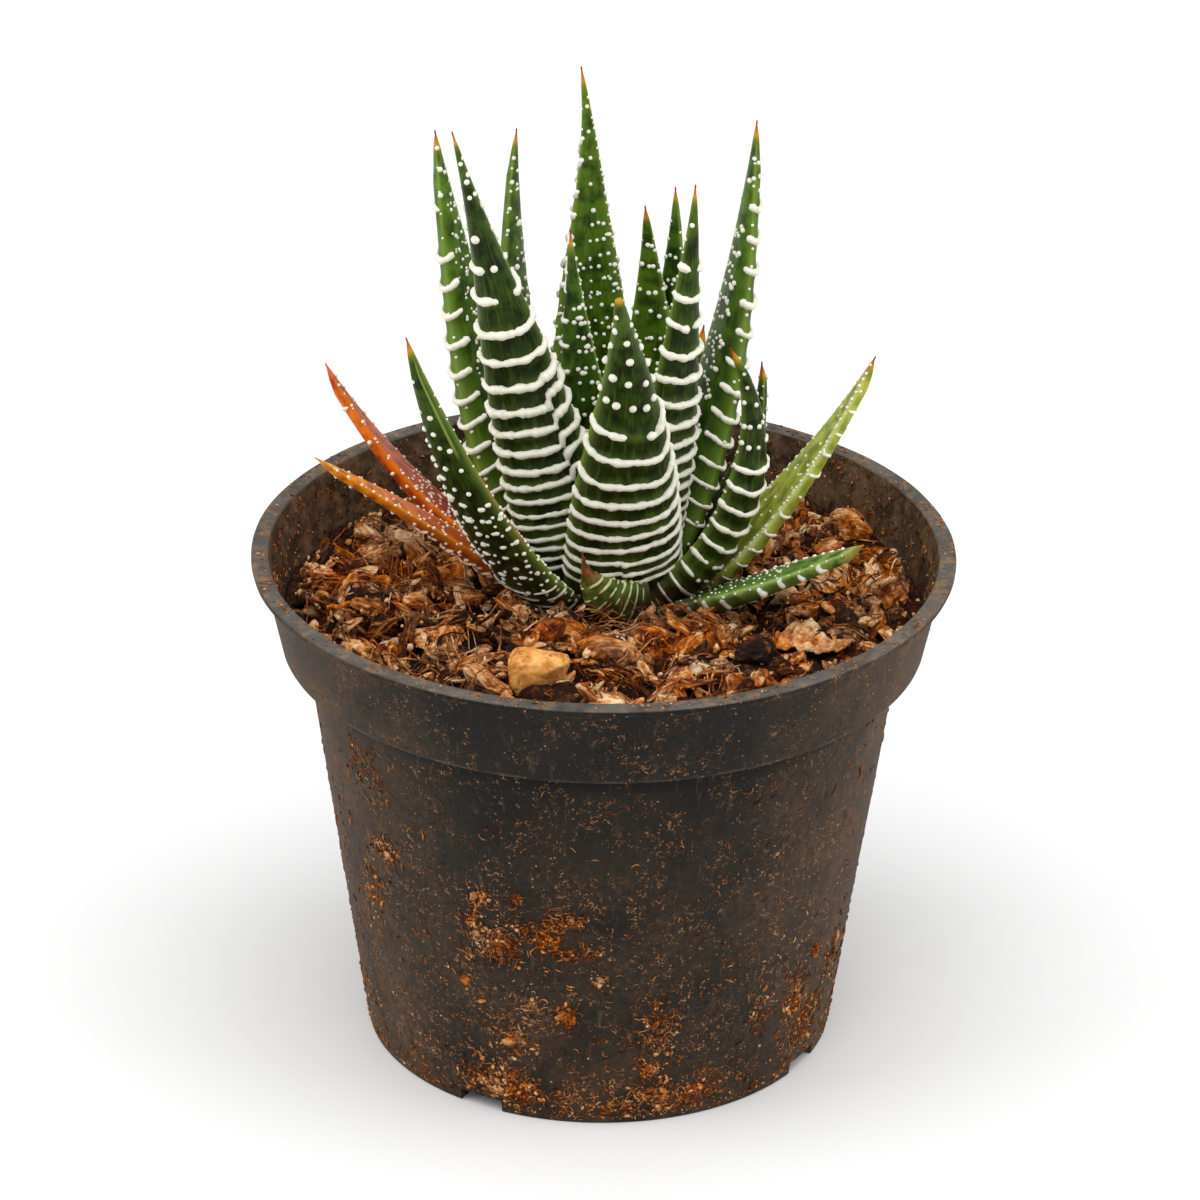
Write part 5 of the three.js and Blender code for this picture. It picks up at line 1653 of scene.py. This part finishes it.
# Fine dead roots between the feet of the front leaves; y is its middle and spread, the rest from and to
footRoots = {"count": 40, "x": (-2, 14), "y": (-12.8, 0.7), "z": (67.4, 71), "reach": (1.2, 3.4),
             "arch": (-0.3, 1.2)}


def footFibres(draw):
    run = np.linspace(-1, 1, 10)
    for _ in range(footRoots["count"]):
        x, y, z = draw.uniform(*footRoots["x"]), draw.normal(*footRoots["y"]), draw.uniform(*footRoots["z"])
        heading = draw.normal(0, 0.6)
        reach, arch = draw.uniform(*footRoots["reach"]), draw.uniform(*footRoots["arch"])
        yield np.column_stack([x + reach * run * math.cos(heading), y + draw.normal(0, 0.6) * run ** 2,
                               z + reach * run * math.sin(heading) + arch * (1 - run ** 2)])


def tuftFibres(pile, draw, x, y, wide, count):
    # A matted bundle: fibres side by side, heaped in the middle
    heading, tone = draw.uniform(0, np.pi), draw.uniform(0.42, 0.66)
    along = np.array([math.cos(heading), math.sin(heading)])
    across = np.array([-math.sin(heading), math.cos(heading)])
    run = np.linspace(-1, 1, 9)
    for _ in range(count):
        aside, shift = draw.normal(0, 0.45) * wide, draw.normal(0, 0.5) * wide
        reach, bend = wide * draw.uniform(0.7, 1.6), draw.normal(0, 0.25)
        flat = np.outer(run * reach + shift, along) + np.outer(aside + bend * run ** 2 * wide, across)
        flat = flat + [x, y]
        heap = 0.9 * wide * 0.5 * math.exp(-(aside / wide) ** 2) * draw.random()
        level = [pile.top[pile.cell(*spot)] for spot in flat]
        rise = np.convolve(np.pad(level, 2, "edge"), np.ones(5) / 5, "valid") + 0.1 + heap * (1 - run ** 2)
        points = np.column_stack([flat, rise])
        if np.hypot(*flat.T).max() > soil["edge"] or min(leafGap(*point) for point in points) < 0.1:
            continue
        size = draw.uniform(0.08, 0.2) * np.sqrt(1.05 - run ** 2)
        yield points, size, np.clip(tone + draw.normal(0, 0.14), 0.1, 1)


def makeFibres(pile, tree, finish):
    draw = np.random.default_rng(soil["seed"] + 4)
    lines = []
    while len(lines) < soil["fibres"]:
        x, y = randomSpot(draw, 1)
        if x > -5 and draw.random() < 0.35:
            continue
        points = fibreLine(pile, draw, x, y, draw.uniform(2.5, 11), draw.choice([0.08, 0.3]),
                           draw.uniform(0, 0.9))
        gaps = [leafGap(*point) for point in points]
        if len(points) < 4 or min(gaps) < 0.15 or any(onKept(a, b) for a, b, _ in points):
            continue
        thick = draw.uniform(0.07, 0.17)
        size = thick * (1 - 0.5 * np.linspace(0, 1, len(points)))
        lines.append((points, size, np.clip(draw.normal(0.58, 0.2), 0.1, 1)))
    for points in footFibres(draw):
        size = draw.uniform(0.07, 0.13) * np.linspace(1, 0.6, len(points))
        lines.append((points, size, draw.uniform(0.4, 0.8)))
    small = [(*randomSpot(draw, 3), draw.uniform(1, 2.2), 12) for _ in range(soil["tufts"])]
    for tuft in [*markedTufts, *small]:
        lines += tuftFibres(pile, draw, *tuft)
    piece = makePaths("coirFibres", lines)
    runTree(piece, tree, {"Sides": 5, "Finish": finish})
    rideOn(piece, "soil")


barkTones = [(0, "#150903"), (0.16, "#34190a"), (0.32, "#6a391a"), (0.48, "#a26132"), (0.64, "#d08e56"),
             (0.8, "#ecbb84"), (1, "#fae6c4")]


def barkFinish(name, paintedHighlight, roughness, grained=True):
    # Broken bark and fibre: matt and streaked along its grain, with painted shade in the hollows and a
    # painted highlight where it stands out
    material, tree, shader = startMaterial(name)
    mixed = addNode(tree, "ShaderNodeAttribute", attribute_name="tone").outputs["Fac"]
    high = addNode(tree, "ShaderNodeAttribute", attribute_name="high").outputs["Fac"]
    spread = addNode(tree, "ShaderNodeTexCoord").outputs["Object"]
    place = spread
    if grained:
        local = addNode(tree, "ShaderNodeAttribute", attribute_name="local").outputs["Vector"]
        place = addNode(tree, "ShaderNodeMapping", {"Vector": local, "Scale": (0.45, 1, 1)})
    grain = addNode(tree, "ShaderNodeTexNoise", {
        "Vector": place, "Scale": 1 / (0.62 * mm), "Detail": 6, "Roughness": 0.72})
    layer = addNode(tree, "ShaderNodeTexNoise", {"Vector": place, "Scale": 1 / (2.6 * mm), "Detail": 3})
    # Tone moves with grain and layer noise, falls as painted shade where high is low and rises as a painted
    # highlight where it is high
    for value, first, last, least, most in ((grain, 0.34, 0.66, -0.19, 0.19), (layer, 0.34, 0.66, -0.1, 0.1),
                                            (high, 0.25, 0.95, -0.16, paintedHighlight)):
        swing = addNode(tree, "ShaderNodeMapRange", {"Value": value, 1: first, 2: last, 3: least, 4: most})
        mixed = addNode(tree, "ShaderNodeMath", {0: mixed, 1: swing}, operation="ADD")
    # Some pieces redder, some greyer, in 7 mm patches
    patch = addNode(tree, "ShaderNodeTexNoise", {"Vector": spread, "Scale": 1 / (7 * mm), "Detail": 2})
    hue = addNode(tree, "ShaderNodeMapRange", {"Value": patch, 1: 0.35, 2: 0.65, 3: 0.489, 4: 0.507})
    depth = addNode(tree, "ShaderNodeMapRange", {"Value": patch, 1: 0.35, 2: 0.65, 3: 1.16, 4: 0.92})
    colour = addNode(tree, "ShaderNodeValToRGB", {"Fac": mixed}, barkTones)
    varied = addNode(tree, "ShaderNodeHueSaturation", {"Hue": hue, "Saturation": depth, "Color": colour})
    bump = addNode(tree, "ShaderNodeBump", {"Height": grain, "Strength": 1.0, "Distance": 0.45 * mm})
    feed(tree, shader, {
        "Base Color": varied, "Normal": bump, "Roughness": roughness, "Specular IOR Level": 0.2})
    return material


stone = {"at": (-8.7, -30.4), "half": (4.5, 3.8, 3.7), "turn": -8, "tilt": 5, "clear": (0.5, -3.2, 6.4)}


def makeStone(pile):
    # A pitted ochre stone at the front: a rounded block with small holes
    draw = np.random.default_rng(soil["seed"] + 5)
    points, faces, _ = chunkShape(draw, 5, cuts=6, rough=0.035, sharp=60)
    # Pits: shallow dents, which the finish paints dark as the shade inside them
    pits = np.clip(waves(points, draw, 0.16, 16) * 3 - 0.4, 0, 1)
    points = points * (1 - 0.1 * pits)[:, None]
    points = np.sign(points) * np.abs(points) ** 0.72
    half = np.array(stone["half"])
    points = turned(points * half, math.radians(stone["turn"]), math.radians(stone["tilt"]))
    x, y = stone["at"]
    z = pile.settle(x, y, half[0] * 0.85, half[2], 0.1)
    gather("ochreStone", [(points + [x, y, z], faces, {"pit": pits})], stoneFinish())


def stoneFinish():
    # Baked clay granule: dull ochre with painted shade in its pits
    material, tree, shader = startMaterial("baked clay granule")
    pit = addNode(tree, "ShaderNodeAttribute", attribute_name="pit").outputs["Fac"]
    place = addNode(tree, "ShaderNodeTexCoord").outputs["Object"]
    grain = addNode(tree, "ShaderNodeTexNoise", {"Vector": place, "Scale": 1 / (1.6 * mm), "Detail": 5})
    ochre = addNode(tree, "ShaderNodeValToRGB", {"Fac": grain}, [
        (0.3, "#ac6826"), (0.5, "#d89448"), (0.68, "#f2bd72")])
    dark = addNode(tree, "ShaderNodeMix", {0: pit, 6: ochre, 7: toLinear("#6e3f18")}, data_type="RGBA")
    bump = addNode(tree, "ShaderNodeBump", {"Height": grain, "Strength": 0.5, "Distance": 0.4 * mm})
    feed(tree, shader, {
        "Base Color": dark.outputs[2], "Normal": bump, "Roughness": 0.85, "Specular IOR Level": 0.3})
    return material


dryLeaf = {"at": (29.6, -15.6), "half": (6.2, 4.6), "turn": 35, "steps": 44, "clear": (0, -1, 6)}


def makeDryLeaf(pile):
    # A crumpled scrap of dead leaf
    draw = np.random.default_rng(soil["seed"] + 6)
    steps = dryLeaf["steps"]
    u, v = np.meshgrid(np.linspace(-1, 1, steps), np.linspace(-1, 1, steps), indexing="ij")
    u, v = u * np.sqrt(1 - v * v / 2), v * np.sqrt(1 - u * u / 2)
    long, wide = dryLeaf["half"]
    flat = np.stack([u.ravel() * long, v.ravel() * wide, np.zeros(u.size)], 1)
    ragged = 1 + 0.16 * waves(flat, draw, 3.0)
    crease = 0.9 * np.abs(waves(flat, draw, 3.4, 5)) + 0.45 * np.abs(waves(flat, draw, 1.6, 6))
    shift = np.stack([waves(flat, draw, 2.6), waves(flat, draw, 2.6), np.zeros(u.size)], 1) * 0.55
    points = flat * ragged[:, None] + shift
    points[:, 2] = 1.9 * crease
    points = turned(points, math.radians(dryLeaf["turn"]), 0.12)
    x, y = dryLeaf["at"]
    z = pile.settle(x, y, 4, 0.8, 0.3)
    faces = [(i * steps + j, (i + 1) * steps + j, (i + 1) * steps + j + 1, i * steps + j + 1)
             for i in range(steps - 1) for j in range(steps - 1)]
    # Painted highlight on the crests of the creases and painted shade between them, through the finish
    values = {"high": np.clip(crease, 0, 1), "tone": 0.78}
    piece = gather("dryLeaf", [(points + [x, y, z], faces, values)],
                   barkFinish("dead leaf scrap", 0.22, 0.75, grained=False))
    piece.modifiers.new("thickness", "SOLIDIFY").thickness = 0.28 * mm


def makeSoil():
    pile = Pile()
    strands, scatter = strandTree(), scatterTree()
    bark = barkFinish("pine bark", 0.22, 0.8)
    makeBed(barkFinish("peat", 0.1, 0.95, grained=False))
    makeChips(pile, scatter, bark, "chips", 2)
    makeChips(pile, scatter, bark, "slivers", 7)
    makeStone(pile)
    makeDryLeaf(pile)
    makeChunks(pile, bark)
    makeChips(pile, scatter, bark, "flakes", 8)
    makeCrumbs(pile, scatter, bark)
    makeFibres(pile, strands, barkFinish("coir", 0.05, 0.7, grained=False))
    return strands, scatter


strandNodes, scatterNodes = makeSoil()
print("soil made")


def corkyStem():
    # The stem's dead cork: dull brown, ringed by the scars of shed leaves 1.4 mm apart
    material, tree, shader = startMaterial("corky stem")
    place = addNode(tree, "ShaderNodeTexCoord").outputs["Object"]
    rings = addNode(tree, "ShaderNodeTexWave", {
        "Vector": place, "Scale": 1 / (4.4 * mm), "Distortion": 2.5, "Detail": 3, "Detail Scale": 2.0},
        bands_direction="Z")
    grain = addNode(tree, "ShaderNodeTexNoise", {"Vector": place, "Scale": 1 / (0.8 * mm), "Detail": 5})
    both = addNode(tree, "ShaderNodeMath", {
        0: rings.outputs["Fac"], 1: 0.5, 2: grain}, operation="MULTIPLY_ADD")
    colour = addNode(tree, "ShaderNodeValToRGB", {"Fac": both}, [
        (0.4, "#2c1c10"), (0.7, "#5d4028"), (1, "#94714a")])
    bump = addNode(tree, "ShaderNodeBump", {"Height": both, "Strength": 0.8, "Distance": 0.4 * mm})
    feed(tree, shader, {"Base Color": colour, "Normal": bump, "Roughness": 0.85})
    return material


frame["nodes"]["rootstock"].material_slots[0].material = corkyStem()
print("rootstock finished")


dirt = {
    "seed": 31,
    "specks": 2300,
    "speckSize": (0.08, 0.26),
    "curls": 1500,
    # smears of caked soil: angle from the front to the right, height, spread in degrees and mm,
    # pieces, share of curls
    "smears": [
        (-22.6, 29.8, 5.4, 3.2, 260, 0.8), (-27, 32.4, 2.4, 3.2, 60, 0.5),
        (-17, 33.6, 3.4, 1.4, 40, 0.6), (-12, 32.4, 4, 1.6, 60, 0.8), (-6.5, 35.4, 4.6, 1.5, 90, 0.8),
        (-5, 29.8, 7, 1.4, 90, 0.8), (-25.3, 37.3, 2.6, 1.8, 40, 0.4), (-17.5, 38, 1.4, 0.9, 16, 0.8),
        (-29, 27, 1.4, 2.2, 26, 0.3), (-7, 18.6, 2.6, 2.4, 60, 0.6), (-19.5, 13.8, 5, 3.2, 90, 0.5),
        (12.8, 16.6, 6, 6, 160, 0.7), (-14.6, 19.6, 3, 2.6, 50, 0.9), (0.3, 25.4, 1.6, 1, 12, 0.5),
        (11.5, 8, 4, 3.6, 70, 0.5), (-50, 39, 5, 2.4, 70, 0.6), (-52.3, 52.3, 7, 4, 70, 0.9),
        (-57, 30, 5, 5, 60, 0.5), (-24, 5, 9, 4, 420, 0.55), (0, 4, 26, 2.6, 260, 0.6),
        (20, 4, 12, 2.6, 160, 0.6), (51.6, 14.6, 6, 5, 110, 0.5), (58.5, 8.4, 8, 5, 140, 0.5),
        (68.7, 17.1, 5, 5, 60, 0.4), (40, 15, 4, 4, 50, 0.6), (150, 20, 30, 12, 200, 0.6),
        (-150, 30, 24, 9, 160, 0.6), (100, 12, 20, 8, 140, 0.6), (-100, 8, 24, 6, 160, 0.6),
        (180, 6, 30, 4, 160, 0.6),
    ],
    # lumps of baked clay or bark that stick to the wall: angle, height, half length, tone
    "lumps": [
        (-30.5, 22.2, 1.0, 0.66), (-26.8, 19.2, 0.55, 0.7), (-26.6, 37.4, 0.8, 0.6),
        (-20.6, 13.2, 0.9, 0.66), (-18.2, 14.2, 0.8, 0.56), (-8.2, 19.0, 0.9, 0.6),
        (-5.6, 18.2, 0.8, 0.56), (0.3, 25.4, 0.5, 0.6), (51.6, 14.6, 1.1, 0.46), (68.7, 17.1, 0.8, 0.4),
        (-49.5, 38.6, 0.7, 0.62), (12.8, 17, 0.7, 0.5), (-61.6, 28.9, 0.6, 0.5), (57, 21, 0.9, 0.5),
        (12, 9.6, 0.8, 0.54), (140, 24, 1.0, 0.5),
    ],
    "insideSpecks": 1300,
    "lipSpecks": 420,
    "slopes": (0.14, 0.21),     # of the wall below and above the ledge
    "notchRoom": (0.4, 6.4),    # kept clear above a notch in mm and to each side in degrees
}


def wallPoint(angle, z, side=1):
    # A point on the outside wall, or with side -1 on the inside wall, and the direction out of it;
    # angle is degrees right of the front
    turn = math.radians(angle - 90)
    radius = outerRadius(z) if side > 0 else innerRadius(z)
    below, above = dirt["slopes"]
    slope = below if z < pot["ledgeHeight"] else above
    out = side * np.array([math.cos(turn), math.sin(turn), -slope])
    return np.array([radius * math.cos(turn), radius * math.sin(turn), z]), out / np.linalg.norm(out)


def wallTurn(out, spin):
    # Euler angles that lay a piece's own z along the wall's outward direction
    lie = Vector(out).to_track_quat("Z", "Y").to_matrix() @ Matrix.Rotation(spin, 3, "Z")
    return tuple(lie.to_euler())


def makeDirt(strands, scatter, caked):
    draw = np.random.default_rng(dirt["seed"])
    places, lines = [], []

    def overNotch(angle, z):
        # Whether there is no wall behind the place, because a drainage notch is cut there
        above, beside = dirt["notchRoom"]
        half = 180 / drain["count"]
        aside = (angle + 90 - drain["firstAngle"] + half) % (2 * half)
        return z < drain["notchHeight"] + above and abs(aside - half) < beside

    def addSpeck(angle, z, size, side=1, tone=None):
        if overNotch(angle, z):
            return
        point, out = wallPoint(angle, z, side)
        half = size * np.array([draw.uniform(0.8, 1.7), draw.uniform(0.6, 1.0), draw.uniform(0.35, 0.7)])
        tone = np.clip(draw.normal(0.56, 0.12), 0.2, 0.9) if tone is None else tone
        places.append((*(point + out * 0.1 * size), *half, *wallTurn(out, draw.uniform(0, 6.28)), tone))

    def addCurl(angle, z, length, side=1, stride=0.25):
        heading, bend = draw.uniform(0, 2 * np.pi), draw.normal(0, 1.3)
        steps = max(5, int(length / stride))
        points = []
        for _ in range(steps):
            point, out = wallPoint(angle, z, side)
            points.append(point + out * 0.05)
            heading += bend * 0.3 + draw.normal(0, 0.25)
            angle += math.degrees(stride * math.cos(heading) / outerRadius(z))
            z = max(0.6, z + stride * math.sin(heading))
            if overNotch(angle, z):
                return
        size = draw.uniform(0.05, 0.12) * np.sin(np.linspace(0.4, 2.8, steps))
        lines.append((np.array(points), size, np.clip(draw.normal(0.56, 0.12), 0.2, 0.9)))

    for _ in range(dirt["specks"]):
        z = 1 + 70 * draw.random() ** 2.2
        if abs(z - pot["ledgeHeight"]) < 0.6:
            continue
        addSpeck(draw.uniform(-180, 180), z, draw.uniform(*dirt["speckSize"]) * (1 if z < 30 else 0.7))
    for _ in range(dirt["curls"]):
        addCurl(draw.uniform(-180, 180), 1.2 + 56 * draw.random() ** 2.2, draw.uniform(0.6, 2.2))
    for angle, z, wide, tall, count, curled in dirt["smears"]:
        for _ in range(count):
            around = angle + draw.normal(0, wide * 0.5)
            height = float(np.clip(z + draw.normal(0, tall * 0.5), 0.6, 58))
            if draw.random() < curled:
                addCurl(around, height, draw.uniform(0.8, 2.4))
            else:
                addSpeck(around, height, draw.uniform(0.14, 0.42))
    for angle, z, size, tone in dirt["lumps"]:
        addSpeck(angle, z, size, tone=tone)
        for _ in range(6):
            addSpeck(angle + draw.normal(0, 1.6), z + draw.normal(0, 0.9), 0.35 * size)
    for _ in range(dirt["insideSpecks"]):
        z = draw.uniform(63.5, 73.6)
        angle, size = draw.uniform(-180, 180), draw.uniform(0.1, 0.34)
        if draw.random() < 0.6:
            addSpeck(angle, z, size, side=-1)
        else:
            addCurl(angle, z, draw.uniform(0.8, 2.4), side=-1)
    for _ in range(dirt["lipSpecks"]):
        turn = draw.uniform(0, 2 * np.pi)
        reach = draw.uniform(pot["lipInner"] + 0.2, pot["lipRadius"] - 0.2)
        size = draw.uniform(0.08, 0.3)
        half = size * np.array([draw.uniform(0.9, 1.8), draw.uniform(0.6, 1.0), 0.4])
        places.append((reach * math.cos(turn), reach * math.sin(turn), pot["height"] - 0.1, *half, 0, 0,
                       draw.uniform(0, 6.28), np.clip(draw.normal(0.54, 0.1), 0.2, 1)))
    shapes = shapeFolder("speckShape", draw, 8, 1, 0.3, cuts=5, rough=0.16)
    scatterShapes("potSpecks", places, scatter, shapes, 9, caked, "pot")
    curls = makePaths("potCurls", lines)
    runTree(curls, strands, {"Sides": 4, "Finish": caked})
    rideOn(curls, "pot")


makeDirt(strandNodes, scatterNodes, barkFinish("caked soil", 0.1, 0.85, grained=False))
print("dirt made")
